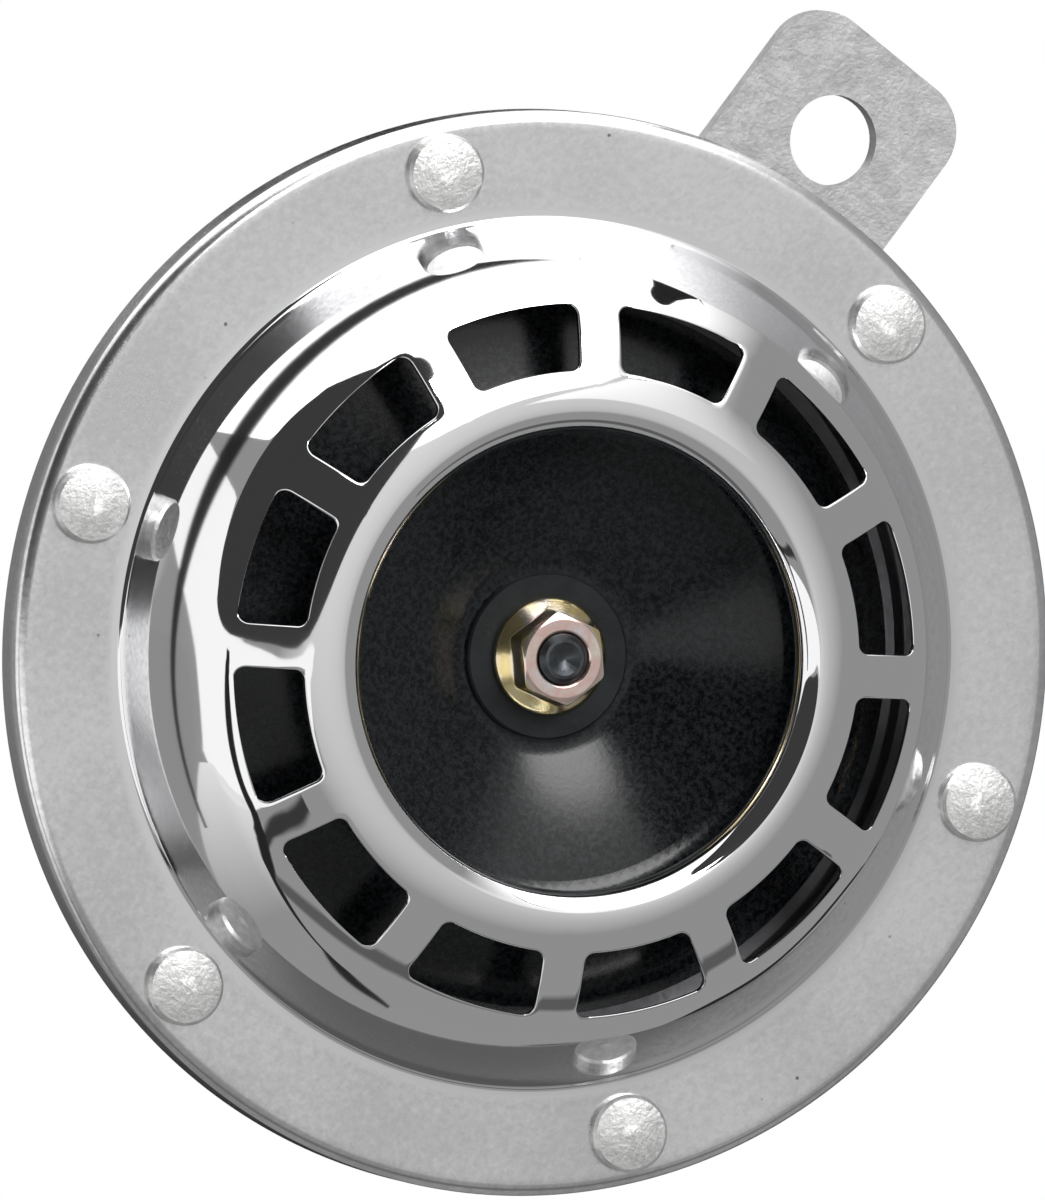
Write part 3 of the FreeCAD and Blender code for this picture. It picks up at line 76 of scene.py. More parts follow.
to_camera = Vector((
    math.sin(camera_azimuth) * math.cos(camera_elevation),
    -math.cos(camera_azimuth) * math.cos(camera_elevation),
    math.sin(camera_elevation)))
camera_turn = to_camera.to_track_quat("Z", "Y").to_matrix() @ Matrix.Rotation(camera_roll, 3, "Z")
view_right, view_up = camera_turn.col[0], camera_turn.col[1]
aim = flange_middle - view_right * flange_right_of_middle + view_up * flange_below_middle
camera = bpy.data.objects.new("camera", bpy.data.cameras.new("camera"))
bpy.context.scene.collection.objects.link(camera)
camera.matrix_world = Matrix.Translation(aim + to_camera * camera_distance) @ camera_turn.to_4x4()
camera.data.lens = camera.data.sensor_width * pixels_per_metre * camera_distance / photo_height
camera.data.clip_end = camera_reach
bpy.context.scene.camera = camera
bpy.context.scene.view_settings.view_transform = "Standard"


# The studio is a grey room that the chrome mirrors, brighter beside the camera and dark behind the horn. It
# has a large white screen at the upper left, a smaller one at the left, a small bright panel, and dark
# flags. The camera itself sees a white backdrop.

def add_node(tree, kind, inputs=None, **settings):
    """Adds a node with its settings, and fills each input with a value or a link."""
    made = tree.nodes.new(kind)
    for name, value in settings.items():
        setattr(made, name, value)
    for name, value in (inputs or {}).items():
        if isinstance(value, bpy.types.NodeSocket):
            tree.links.new(value, made.inputs[name])
        else:
            made.inputs[name].default_value = value
    return made


def math_node(tree, operation, *values):
    """The result of one operation on values or links."""
    made = add_node(tree, "ShaderNodeMath", operation=operation)
    for socket, value in zip(made.inputs, values):
        if isinstance(value, bpy.types.NodeSocket):
            tree.links.new(value, socket)
        else:
            socket.default_value = value
    return made.outputs[0]


def grade(tree, value, low, high, to_low=0.0, to_high=1.0):
    """Takes a value from one range to another, and stops at the ends."""
    made = add_node(tree, "ShaderNodeMapRange", {
        "Value": value, "From Min": low, "From Max": high, "To Min": to_low, "To Max": to_high})
    return made.outputs["Result"]


def towards_room(across, up):
    """The direction that lies so many degrees to the right and up of the camera."""
    off = math.radians(math.hypot(across, up))
    sideways = (view_right * across + view_up * up) / math.hypot(across, up)
    return to_camera * math.cos(off) + sideways * math.sin(off)


room_grey = 0.38
room_bright = 0.95
bright_place = (24, 6)
bright_spread = (math.cos(math.radians(26)), math.cos(math.radians(5)))
dark_behind = (math.cos(math.radians(42)), math.cos(math.radians(20)))
behind_grey = 0.03

world = bpy.data.worlds.new("studio")
bpy.context.scene.world = world
world.use_nodes = True
tree = world.node_tree
tree.nodes.clear()
direction = add_node(tree, "ShaderNodeTexCoord").outputs["Generated"]
towards = add_node(tree, "ShaderNodeVectorMath", {0: direction, 1: towards_room(*bright_place)},
                   operation="DOT_PRODUCT")
level = grade(tree, towards.outputs["Value"], *bright_spread, room_grey, room_bright)
away = add_node(tree, "ShaderNodeVectorMath", {0: direction, 1: -to_camera}, operation="DOT_PRODUCT")
shade = grade(tree, away.outputs["Value"], *dark_behind, 1.0, behind_grey)
room = add_node(tree, "ShaderNodeBackground", {"Strength": math_node(tree, "MULTIPLY", level, shade)})
backdrop = add_node(tree, "ShaderNodeBackground", {"Color": (1, 1, 1, 1), "Strength": 1.0})
seen = add_node(tree, "ShaderNodeLightPath").outputs["Is Camera Ray"]
choice = add_node(tree, "ShaderNodeMixShader", {0: seen, 1: room.outputs[0], 2: backdrop.outputs[0]})
add_node(tree, "ShaderNodeOutputWorld", {"Surface": choice.outputs[0]})

screen_distance = 2.0
flag_distance = 1.8


def rounded(line, closed=True, passes=3):
    """Cuts the corners of an outline or a line again and again, which rounds them."""
    for _ in range(passes):
        ends = line[1:] + line[:1] if closed else line[1:]
        cut = [tuple(a * near + b * (1 - near) for a, b in zip(corner, next_corner))
               for corner, next_corner in zip(line, ends) for near in (0.75, 0.25)]
        line = cut if closed else line[:1] + cut + line[-1:]
    return line


def glow(name, points, faces, shares, strength):
    """A lamp or a flag, which lets the room through where a point's share of it is low."""
    mesh = bpy.data.meshes.new(name)
    mesh.from_pydata(points, [], faces)
    mesh.attributes.new("share", "FLOAT", "POINT").data.foreach_set("value", shares)
    material = bpy.data.materials.new(name)
    material.use_nodes = True
    tree = material.node_tree
    tree.nodes.clear()
    light = add_node(tree, "ShaderNodeEmission", {"Strength": strength})
    clear = add_node(tree, "ShaderNodeBsdfTransparent")
    share = add_node(tree, "ShaderNodeAttribute", attribute_name="share").outputs["Fac"]
    mixed = add_node(tree, "ShaderNodeMixShader", {0: share, 1: clear.outputs[0], 2: light.outputs[0]})
    add_node(tree, "ShaderNodeOutputMaterial", {"Surface": mixed.outputs[0]})
    mesh.materials.append(material)
    card = bpy.data.objects.new(name, mesh)
    bpy.context.scene.collection.objects.link(card)
    card.visible_camera = False
    card.visible_shadow = False


def strip_of_light(name, lines, shares, strength):
    """A strip between lines of points, with the share of light that each line has."""
    length = len(lines[0])
    faces = [(row * length + step, row * length + step + 1,
              (row + 1) * length + step + 1, (row + 1) * length + step)
             for row in range(len(lines) - 1) for step in range(length - 1)]
    glow(name, [point for line in lines for point in line], faces,
         [share for share in shares for _ in range(length)], strength)


def in_room(spot, distance):
    """A point of the room, so far from the horn."""
    return flange_middle + towards_room(*spot) * distance


grid_step = 8
grid_half_width = 116
grid_half_height = 140
card_grid = [(across, up) for across in range(-grid_half_width, grid_half_width + 1, grid_step)
             for up in range(-grid_half_height, grid_half_height + 1, grid_step)]
inside_outline = 1
same_spot = 0.0001


def studio_card(name, corners, strength, distance=screen_distance):
    """A screen or flag with a sharp, rounded outline, bent round the horn."""
    outline = rounded(corners)
    whole = [list(range(len(outline)))]
    spots = [Vector(spot) for spot in outline + card_grid]
    spots, _, faces, *_ = delaunay_2d_cdt(spots, [], whole, inside_outline, same_spot)
    glow(name, [in_room(spot, distance) for spot in spots], faces, [1.0] * len(spots), strength)


def studio_fade(name, sharp, soft, strength, distance=screen_distance):
    """A screen that is bright along one line and fades out towards another."""
    lines = [[in_room(corner, distance) for corner in rounded(line, False)] for line in (sharp, soft)]
    strip_of_light(name, lines, (1.0, 0.0), strength)


def studio_band(name, line, widths, strength, core=0.5, distance=flag_distance):
    """A flag along a line, as wide at each point as its width there, with soft sides round its core."""
    path = rounded([(*corner, width) for corner, width in zip(line, widths)], False)
    rows = [[], [], [], []]
    for place, (across, up, width) in enumerate(path):
        ahead, behind = path[min(place + 1, len(path) - 1)], path[max(place - 1, 0)]
        way = Vector((ahead[0] - behind[0], ahead[1] - behind[1])).normalized()
        for row, share in zip(rows, (-0.5, -0.5 * core, 0.5 * core, 0.5)):
            corner = (across - way.y * width * share, up + way.x * width * share)
            row.append(in_room(corner, distance))
    strip_of_light(name, rows, (0.0, 1.0, 1.0, 0.0), strength)


studio_card("upper_screen", [
    (34, 2), (22, 8), (0, 22), (-14, 38), (-18, 52), (-30, 58), (-50, 60), (-68, 57), (-84, 58),
    (-104, 62), (-104, 100), (-40, 140), (30, 140), (62, 126), (66, 100), (62, 78), (50, 45), (40, 20)],
    strength=1.6)
studio_fade("upper_screen_edge", [(64, 128), (66, 108), (63, 84), (52, 50), (42, 22), (34, 2)],
            [(92, 116), (86, 96), (76, 72), (62, 42), (50, 18), (42, 0)], strength=1.2)
studio_card("key_panel", [(12, 17), (30, 20), (42, 24), (44, 31), (34, 37), (20, 35), (12, 27)],
            strength=11.0, distance=flag_distance)
studio_card("left_flag", [
    (26, -1), (24, 14), (6, 47), (-6, 55), (-31, 64), (-45, 64), (-58, 60), (-66, 50), (-70, 38), (-70, 26),
    (-66, 14), (-58, 4), (-38, -1), (-8, -3), (8, -5), (18, -4)], strength=0.045, distance=flag_distance)
studio_card("left_screen", [
    (24, -4), (4, -6), (-8, -4), (-38, -1), (-60, 4), (-68, 20), (-72, 40), (-73, 60), (-80, 62), (-83, 30),
    (-83, 10), (-82, -14), (-80, -40), (-44, -40), (-20, -26), (0, -16)], strength=1.05)
studio_fade("left_screen_foot", [(-81, -32), (-60, -36), (-44, -36)], [(-66, -78), (-60, -76), (-52, -74)],
            strength=0.85)
studio_band("left_screen_rim", [(-80, 72), (-88, 44), (-92, 22), (-94, 4)], (14, 16, 16, 8), strength=0.9)
studio_card("left_wall", [
    (-84, 6), (-83, -15), (-81, -40), (-74, -60), (-62, -82), (-54, -96), (-80, -112), (-112, -60),
    (-118, -10), (-104, 6)], strength=0.29)
studio_band("low_room", [(-50, -60), (-26, -66), (0, -68), (26, -65), (50, -55), (66, -36)],
            (8, 18, 20, 20, 18, 8), strength=0.11)
studio_card("upper_wedge", [(50, 78), (47, 96), (50, 122), (60, 121), (72, 115), (62, 110), (56, 96)],
            strength=0.02, distance=flag_distance)
studio_band("outer_streak", [
    (-46, -2), (-48, -13), (-50, -24), (-48, -34), (-42, -39), (-49, -51), (-53, -62), (-53, -75),
    (-50, -88), (-42, -98), (-31, -107)], (4, 8, 8, 7, 8, 9, 6, 4, 2.4, 1.8, 0.5), strength=0.02, core=0.7)
studio_band("inner_streak", [(2, -22), (-4, -26), (-18, -32), (-35, -40), (-44, -46)], (3, 4, 4, 4, 4),
            strength=0.04)
studio_band("low_arc", [
    (5, -124), (20, -126), (40, -127), (56, -123), (72, -108), (86, -102), (98, -86), (106, -73),
    (121, -64), (140, -60)], (0.5, 1.4, 2, 4, 10, 10, 6, 5, 4, 2), strength=0.02, core=0.7)


# A wide pale floor lies well below, because the horn hangs from its bracket. Like the backdrop, it is
# white to the camera, and the horn doesn't mirror it.

floor_drop = 0.9
floor_half = 4.0
floor_grey = (0.8, 0.8, 0.8, 1)

floor_level = cad_low.z - floor_drop
floor_mesh = bpy.data.meshes.new("floor")
floor_mesh.from_pydata([(floor_half * x, floor_half * y, floor_level) for x, y in (
    (-1, -1), (1, -1), (1, 1), (-1, 1))], [], [(0, 1, 2, 3)])
floor = bpy.data.objects.new("floor", floor_mesh)
bpy.context.scene.collection.objects.link(floor)
floor.visible_glossy = False
floor_material = bpy.data.materials.new("pale_floor")
floor_material.use_nodes = True
tree = floor_material.node_tree
tree.nodes.clear()
matt = add_node(tree, "ShaderNodeBsdfDiffuse", {"Color": floor_grey})
white = add_node(tree, "ShaderNodeEmission", {"Strength": 1.0})
seen = add_node(tree, "ShaderNodeLightPath").outputs["Is Camera Ray"]
choice = add_node(tree, "ShaderNodeMixShader", {0: seen, 1: matt.outputs[0], 2: white.outputs[0]})
add_node(tree, "ShaderNodeOutputMaterial", {"Surface": choice.outputs[0]})
floor_mesh.materials.append(floor_material)


# The cover is one pressed sheet of steel, polished and chromed. Its dome mirrors the studio, and its
# flat flange is more satin, with the faint mottle and the specks of plating over rolled sheet.

def new_material(name):
    """A new material, with its node tree and its surface shader."""
    made = bpy.data.materials.new(name)
    made.use_nodes = True
    return made, made.node_tree, made.node_tree.nodes["Principled BSDF"]


def place_on_piece(tree):
    """Where a point lies in the horn's own frame."""
    return add_node(tree, "ShaderNodeTexCoord").outputs["Object"]


def noise(tree, place, scale, detail=3.0, roughness=0.5):
    """Clouds of values round one half. A larger scale makes them smaller."""
    made = add_node(tree, "ShaderNodeTexNoise", {
        "Vector": place, "Scale": scale, "Detail": detail, "Roughness": roughness})
    return made.outputs["Fac"]


def blend_colours(tree, share, first, second):
    """The first colour where the share is 0, and the second where it is 1."""
    made = add_node(tree, "ShaderNodeMix", data_type="RGBA")
    for socket, value in ((made.inputs[0], share), (made.inputs[6], first), (made.inputs[7], second)):
        if isinstance(value, bpy.types.NodeSocket):
            tree.links.new(value, socket)
        else:
            socket.default_value = (*value, 1) if isinstance(value, tuple) else value
    return made.outputs[2]


def bump(tree, shader, height, distance, strength=1.0):
    """Relief in the shading alone: a height of 1 stands for this distance, in metres."""
    made = add_node(tree, "ShaderNodeBump", {"Height": height, "Distance": distance, "Strength": strength})
    tree.links.new(made.outputs["Normal"], shader.inputs["Normal"])


def distance_from_axis(tree, place):
    """How far a point lies from the line through the middle of the horn, in metres."""
    parts = add_node(tree, "ShaderNodeSeparateXYZ", {"Vector": place})
    across = math_node(tree, "SUBTRACT", parts.outputs["X"], horn_centre.x)
    up = math_node(tree, "SUBTRACT", parts.outputs["Z"], horn_centre.z)
    return math_node(tree, "SQRT", math_node(
        tree, "ADD", math_node(tree, "MULTIPLY", across, across), math_node(tree, "MULTIPLY", up, up)))


def dress(node, material):
    """Gives a piece of the frame its finish."""
    mesh = nodes[node].data
    mesh.materials.clear()
    mesh.materials.append(material)


# The pressed sheet is followed from the lip to the hem. One sixth of the cover, with two slots and one
# rivet's hole, is drawn as a mesh and then repeated round the horn.

cover_low, cover_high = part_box("grille_cover")
cover_radius = (cover_high.x - cover_low.x) / 2
cover_sheet = 0.0010
flange_front = face_low.y - cover_sheet
cover_height = flange_front - cover_low.y
mouth_radius = 0.0273
lip_bend = 0.0027
crown_bend = 0.0260
shoulder_bend = 0.0120
wall_lean = math.radians(28.6)
wall_spring = math.radians(2.4)
wall_foot_radius = 0.0520
wall_foot_bend = 0.0007
skirt_bend = 0.0015
skirt_depth = cover_high.y - flange_front
grille_turn = math.radians(10.7)
slot_count = 12
slot_inner_radius = 0.0347
slot_outer_radius = 0.0425
slot_corner = 0.0012
bar_half_width = 0.002625
pressed_edge = 0.00028
rivet_count = 6
rivet_circle_radius = 0.05875
rivet_hole_radius = 0.0025

slot_zone_inner = 0.0322
slot_zone_outer = 0.0447
slot_step = 2 * math.pi / slot_count
slots_per_sixth = slot_count // rivet_count
cells_per_slot = 24
cells_per_side = 14
corner_cells = 4
arc_cells = cells_per_slot - 2 * corner_cells
side_cells = cells_per_side - 2 * corner_cells
field_rows = (0.0, 0.3, 0.6, 0.85, 1.0)
rounding_steps = 4
cell = slot_step / cells_per_slot
hole_cells = 4
hole_reach = 0.0040
lip_steps = 12
crown_steps = 3
shoulder_steps = 8
wall_steps = 16
foot_steps = 8
hem_steps = 10
hem_rows = (1 / 2, 2 / 3, 1)

lip_centre = Vector((mouth_radius + lip_bend, cover_height - lip_bend))
crown_centre = Vector((lip_centre.x, cover_height - crown_bend))
wall_out = Vector((math.cos(wall_lean), math.sin(wall_lean)))
wall_foot = Vector((wall_foot_radius, 0.0))
shoulder_offset = ((wall_foot - crown_centre).dot(wall_out) - shoulder_bend) / (crown_bend - shoulder_bend)
shoulder_joint = wall_lean + math.acos(shoulder_offset)
shoulder_centre = crown_centre + Vector((math.cos(shoulder_joint), math.sin(shoulder_joint))) * (
    crown_bend - shoulder_bend)
foot_centre = Vector((
    wall_foot_radius + wall_foot_bend * (1 - math.sin(wall_lean)) / math.cos(wall_lean), wall_foot_bend))


def on_horn(angle, radius, height):
    """A point of the horn: its angle clockwise from the bracket, radius, and height before the flange."""
    return Vector((horn_centre.x + radius * math.sin(angle), flange_front - height,
                   horn_centre.z + radius * math.cos(angle)))


def bend_points(centre, radius, start, end, steps):
    """Points along an arc of the section, from one angle to another."""
    return [centre + Vector((math.cos(angle), math.sin(angle))) * radius
            for angle in (start + (end - start) * step / steps for step in range(steps + 1))]


def dome_height(radius, depth):
    """Height of the slotted dome at a radius, at a depth below its outer face."""
    joint = crown_centre.x + (crown_bend - depth) * math.cos(shoulder_joint)
    centre, bend = (crown_centre, crown_bend) if radius < joint else (shoulder_centre, shoulder_bend)
    return centre.y + math.sqrt((bend - depth) ** 2 - (radius - centre.x) ** 2)


def wall_points(top, bottom):
    """The wall, which springs outwards by a tenth of a millimetre between its two bends."""
    along = bottom - top
    outwards = Vector((-along.y, along.x)).normalized()
    bulge = along.length * math.tan(wall_spring) / 4
    return [top.lerp(bottom, share) + outwards * bulge * 4 * share * (1 - share)
            for share in (step / wall_steps for step in range(wall_steps + 1))]


wall_strip = (0.6, 0.4, -0.4, -0.6)


def wall_flag(name, radius, height, lean, line, strength):
    """A dark strip that the camera sees in the wall, where that has this radius, height and lean. The line
    gives degrees of turn round the horn and, for each, how many degrees of lean the strip takes up."""
    rows = [[] for _ in wall_strip]
    for turn, width in rounded(line, False):
        turn = math.radians(turn)
        point = on_horn(turn, radius, height)
        sight = (camera.matrix_world.translation - point).normalized()
        for row, share in zip(rows, wall_strip):
            tilt = math.radians(lean + width * share)
            normal = Vector((
                math.sin(turn) * math.sin(tilt), -math.cos(tilt), math.cos(turn) * math.sin(tilt)))
            row.append(point + (2 * normal.dot(sight) * normal - sight) * flag_distance)
    strip_of_light(name, rows, (0.0, 1.0, 1.0, 0.0), strength)


wall_flag("rim_flag", 0.0476, 0.0081, 60.6, [
    (-152, 0.15), (-125, 0.3), (-112, 0.6), (-93, 1.2), (-62, 0.8), (-32, 0.7), (-21, 0.5)], strength=0.02)


def section_inside(depth):
    """From the lip's end to the slots, at a depth below the outer face."""
    lip = bend_points(lip_centre, lip_bend - depth, math.pi, math.pi / 2, lip_steps)
    reach = slot_zone_inner - lip_centre.x
    crown = [Vector((radius, dome_height(radius, depth)))
             for radius in (lip_centre.x + reach * step / crown_steps for step in range(1, crown_steps + 1))]
    return lip + crown


def section_outside(depth):
    """From the slots over the shoulder, down the wall, across the flange and round to the hem."""
    bend = shoulder_bend - depth
    start = math.acos((slot_zone_outer - shoulder_centre.x) / bend)
    points = bend_points(shoulder_centre, bend, start, wall_lean + wall_spring, shoulder_steps)
    foot = bend_points(foot_centre, wall_foot_bend + depth,
                       math.pi + wall_lean - wall_spring, 1.5 * math.pi, foot_steps)
    points += wall_points(points[-1], foot[0])[1:-1] + foot
    hole_from = rivet_circle_radius - hole_reach
    points += [Vector((hole_from + hole_reach * step / hole_cells, -depth))
               for step in range(2 * hole_cells + 1)]
    points += bend_points(Vector((cover_radius - skirt_bend, -skirt_bend)), skirt_bend - depth,
                          math.pi / 2, 0, hem_steps)
    return points + [Vector((cover_radius - depth, -skirt_depth * share)) for share in hem_rows]


def corner_points(centre, bend, start, end):
    """A slot's round corner, from one direction to another."""
    turn = start.angle_signed(end)
    return [centre + Matrix.Rotation(-turn * step / (2 * corner_cells), 2) @ start * bend
            for step in range(2 * corner_cells + 1)]


def arc_points(corner, radius):
    """A slot's outer or inner wall, between the ends of its two corners."""
    spread = math.atan2(corner.x, corner.y)
    return [Vector((math.sin(angle), math.cos(angle))) * radius for angle in (
        spread - 2 * spread * step / arc_cells for step in range(1, arc_cells))]


def mirrored(points):
    """The same line on the slot's other half, followed backwards."""
    return [Vector((-point.x, point.y)) for point in reversed(points)]


def slot_loop(middle, grow):
    """A slot's outline, grown by a distance, from the middle of its corner after the bar, anticlockwise."""
    half = slot_step / 2
    aside = Vector((math.cos(half), -math.sin(half)))
    centres = []
    for reach in (slot_outer_radius - slot_corner, slot_inner_radius + slot_corner):
        angle = half - math.asin((bar_half_width + slot_corner) / reach)
        centres.append(Vector((math.sin(angle), math.cos(angle))) * reach)
    outer, inner = centres
    outer_corner = corner_points(outer, slot_corner + grow, aside, outer.normalized())
    inner_corner = corner_points(inner, slot_corner + grow, -inner.normalized(), aside)
    side = [inner_corner[-1].lerp(outer_corner[0], step / side_cells) for step in range(1, side_cells)]
    outer_wall = arc_points(outer_corner[-1], slot_outer_radius + grow)
    inner_wall = arc_points(inner_corner[0], slot_inner_radius - grow)
    right = inner_corner[corner_cells:] + side + outer_corner[:corner_cells + 1]
    top = outer_corner[corner_cells:] + outer_wall + mirrored(outer_corner[corner_cells:])
    bottom = mirrored(inner_corner[:corner_cells + 1]) + inner_wall[::-1] + inner_corner[:corner_cells + 1]
    ring = top[:-1] + mirrored(right)[:-1] + bottom[:-1] + right[:-1]
    return [(math.atan2(point.x, point.y) + middle, point.length) for point in ring]


def slot_field(middle):
    """The edge of a slot's field of the dome, with as many points as its outline."""
    half = slot_step / 2
    angles = [half - slot_step * step / cells_per_slot for step in range(cells_per_slot)]
    radii = [slot_zone_outer + (slot_zone_inner - slot_zone_outer) * step / cells_per_side
             for step in range(cells_per_side)]
    points = [(angle, slot_zone_outer) for angle in angles]
    points += [(-half, radius) for radius in radii]
    points += [(-angle, slot_zone_inner) for angle in angles]
    points += [(half, slot_zone_inner + slot_zone_outer - radius) for radius in radii]
    return [(angle + middle, radius) for angle, radius in points]


def add_strip(made, first, second, closed=False):
    """A row of faces between two rows of points."""
    rows = [[made.verts.new(point) for point in row] for row in (first, second)]
    count = len(first)
    for place in range(count if closed else count - 1):
        after = (place + 1) % count
        made.faces.new((rows[0][place], rows[0][after], rows[1][after], rows[1][place]))


def add_slot(made, middle):
    """Both faces of the dome round a slot, its pressed edges, and the cut between them."""
    edge = slot_loop(middle, pressed_edge)
    cuts = []
    for depth, inwards in ((0.0, 1), (cover_sheet, -1)):
        rows = []
        for share in field_rows:
            spots = [(angle + (edge_angle - angle) * share, radius + (edge_radius - radius) * share)
                     for (angle, radius), (edge_angle, edge_radius) in zip(slot_field(middle), edge)]
            rows.append([on_horn(angle, radius, dome_height(radius, depth)) for angle, radius in spots])
        for step in range(1, rounding_steps + 1):
            turn = math.pi / 2 * step / rounding_steps
            drop = pressed_edge * (1 - math.cos(turn)) * inwards
            rows.append([on_horn(angle, radius, dome_height(radius, depth) - drop)
                         for angle, radius in slot_loop(middle, pressed_edge * (1 - math.sin(turn)))])
        for first, second in zip(rows, rows[1:]):
            add_strip(made, first, second, closed=True)
        cuts.append(rows[-1])
    add_strip(made, *cuts, closed=True)


def add_rivet_hole(made):
    """The square of the flange round a rivet's hole, and the hole's wall."""
    count = 2 * hole_cells
    square = [(cell * (step - hole_cells), rivet_circle_radius + hole_reach) for step in range(count)]
    square += [(cell * hole_cells, rivet_circle_radius + hole_reach * (1 - step / hole_cells))
               for step in range(count)]
    square += [(-angle, 2 * rivet_circle_radius - radius) for angle, radius in square]
    walls = []
    for depth in (0.0, cover_sheet):
        outside = [on_horn(angle, radius, -depth) for angle, radius in square]
        centre = on_horn(0, rivet_circle_radius, -depth)
        hole = [centre + (point - centre).normalized() * rivet_hole_radius for point in outside]
        add_strip(made, outside, hole, closed=True)
        walls.append(hole)
    add_strip(made, *walls, closed=True)


def add_sheet(made, section, depth):
    """One face of the sheet along a section, open where a rivet's hole goes. Gives back its rows."""
    outline = section(depth)
    rows = [[on_horn(angle, point.x, point.y) for angle in sixth_angles] for point in outline]
    for place, (point, after) in enumerate(zip(outline, outline[1:])):
        first, second = rows[place], rows[place + 1]
        from_circle = abs((point.x + after.x) / 2 - rivet_circle_radius)
        if abs(point.y - after.y) < level and from_circle < hole_reach:
            add_strip(made, first[:hole_left + 1], second[:hole_left + 1])
            add_strip(made, first[hole_right:], second[hole_right:])
        else:
            add_strip(made, first, second)
    return rows


level = 1e-9
weld = 1e-6
sixth_angles = [cell * step - slot_step / 2 for step in range(slots_per_sixth * cells_per_slot + 1)]
hole_left = cells_per_slot // 2 - hole_cells
hole_right = cells_per_slot // 2 + hole_cells
sixth_mesh = bmesh.new()
lips = [add_sheet(sixth_mesh, section_inside, depth)[0] for depth in (0.0, cover_sheet)]
hems = [add_sheet(sixth_mesh, section_outside, depth)[-1] for depth in (0.0, cover_sheet)]
add_strip(sixth_mesh, *lips)
add_strip(sixth_mesh, *hems)
for slot in range(slots_per_sixth):
    add_slot(sixth_mesh, slot * slot_step)
add_rivet_hole(sixth_mesh)
bmesh.ops.remove_doubles(sixth_mesh, verts=sixth_mesh.verts, dist=weld)


def socket_of(tree, name):
    """The name that a modifier gives to an input of its tree."""
    return next(item.identifier for item in tree.interface.items_tree
                if item.name == name and item.in_out == "INPUT")


def round_tree():
    """Repeats a piece round the horn's axis, and joins the copies where they meet."""
    tree = bpy.data.node_groups.new("repeat_round_the_horn", "GeometryNodeTree")
    for name, kind in (("Geometry", "NodeSocketGeometry"), ("Count", "NodeSocketInt"),
                       ("Middle", "NodeSocketVector"), ("First Turn", "NodeSocketFloat"),
                       ("Join Distance", "NodeSocketFloat"), ("Finish", "NodeSocketMaterial")):
        tree.interface.new_socket(name, in_out="INPUT", socket_type=kind)
    tree.interface.new_socket("Geometry", in_out="OUTPUT", socket_type="NodeSocketGeometry")
    given = add_node(tree, "NodeGroupInput").outputs
    back = add_node(tree, "ShaderNodeVectorMath", {0: given["Middle"], "Scale": -1.0}, operation="SCALE")
    centred = add_node(tree, "GeometryNodeTransform", {
        "Geometry": given["Geometry"], "Translation": back.outputs[0]})
    points = add_node(tree, "GeometryNodePoints", {"Count": given["Count"], "Position": given["Middle"]})
    index = add_node(tree, "GeometryNodeInputIndex").outputs[0]
    step = math_node(tree, "DIVIDE", 2 * math.pi, given["Count"])
    angle = math_node(tree, "MULTIPLY_ADD", index, step, given["First Turn"])
    turn = add_node(tree, "ShaderNodeCombineXYZ", {"Y": angle})
    copies = add_node(tree, "GeometryNodeInstanceOnPoints", {
        "Points": points.outputs[0], "Instance": centred.outputs[0], "Rotation": turn.outputs[0]})
    real = add_node(tree, "GeometryNodeRealizeInstances", {"Geometry": copies.outputs[0]})
    joined = add_node(tree, "GeometryNodeMergeByDistance", {
        "Geometry": real.outputs[0], "Distance": given["Join Distance"]})
    dressed = add_node(tree, "GeometryNodeSetMaterial", {
        "Geometry": joined.outputs[0], "Material": given["Finish"]})
    add_node(tree, "NodeGroupOutput", {"Geometry": dressed.outputs[0]})
    return tree


repeat_round = round_tree()
join_distance = 0.000002
sharp_turn = math.radians(35)


def repeated(name, pattern, count, first_turn, finish):
    """A mesh repeated round the horn, as one plain object with all its faces outwards."""
    mesh = bpy.data.meshes.new(name)
    pattern.to_mesh(mesh)
    pattern.free()
    piece = bpy.data.objects.new(name, mesh)
    bpy.context.scene.collection.objects.link(piece)
    maker = piece.modifiers.new("repeat", "NODES")
    maker.node_group = repeat_round
    for socket, value in (("Count", count), ("Middle", flange_middle), ("First Turn", first_turn),
                          ("Join Distance", join_distance), ("Finish", finish)):
        maker[socket_of(repeat_round, socket)] = value
    evaluated = piece.evaluated_get(bpy.context.evaluated_depsgraph_get())
    piece.data = bpy.data.meshes.new_from_object(evaluated)
    piece.modifiers.clear()
    whole = bmesh.new()
    whole.from_mesh(piece.data)
    bmesh.ops.recalc_face_normals(whole, faces=whole.faces)
    whole.to_mesh(piece.data)
    whole.free()
    piece.data.shade_smooth()
    piece.data.set_sharp_from_angle(angle=sharp_turn)
    return piece


flange_inner = 0.0530
flange_fade = 0.0010
chrome_bright = (0.87, 0.87, 0.88)
chrome_dull = (0.70, 0.70, 0.71)
patch_scale = 60.0
mottle_scale = 900.0
mottle_spread = (0.4, 0.6)
speck_colour = (0.22, 0.22, 0.23)
speck_scale = 150.0
speck_size = 0.045
mirror_roughness = 0.035
satin_roughness = (0.13, 0.24)
satin_spread = (0.35, 0.65)
satin_scale = 1400.0
satin_depth = 0.00002

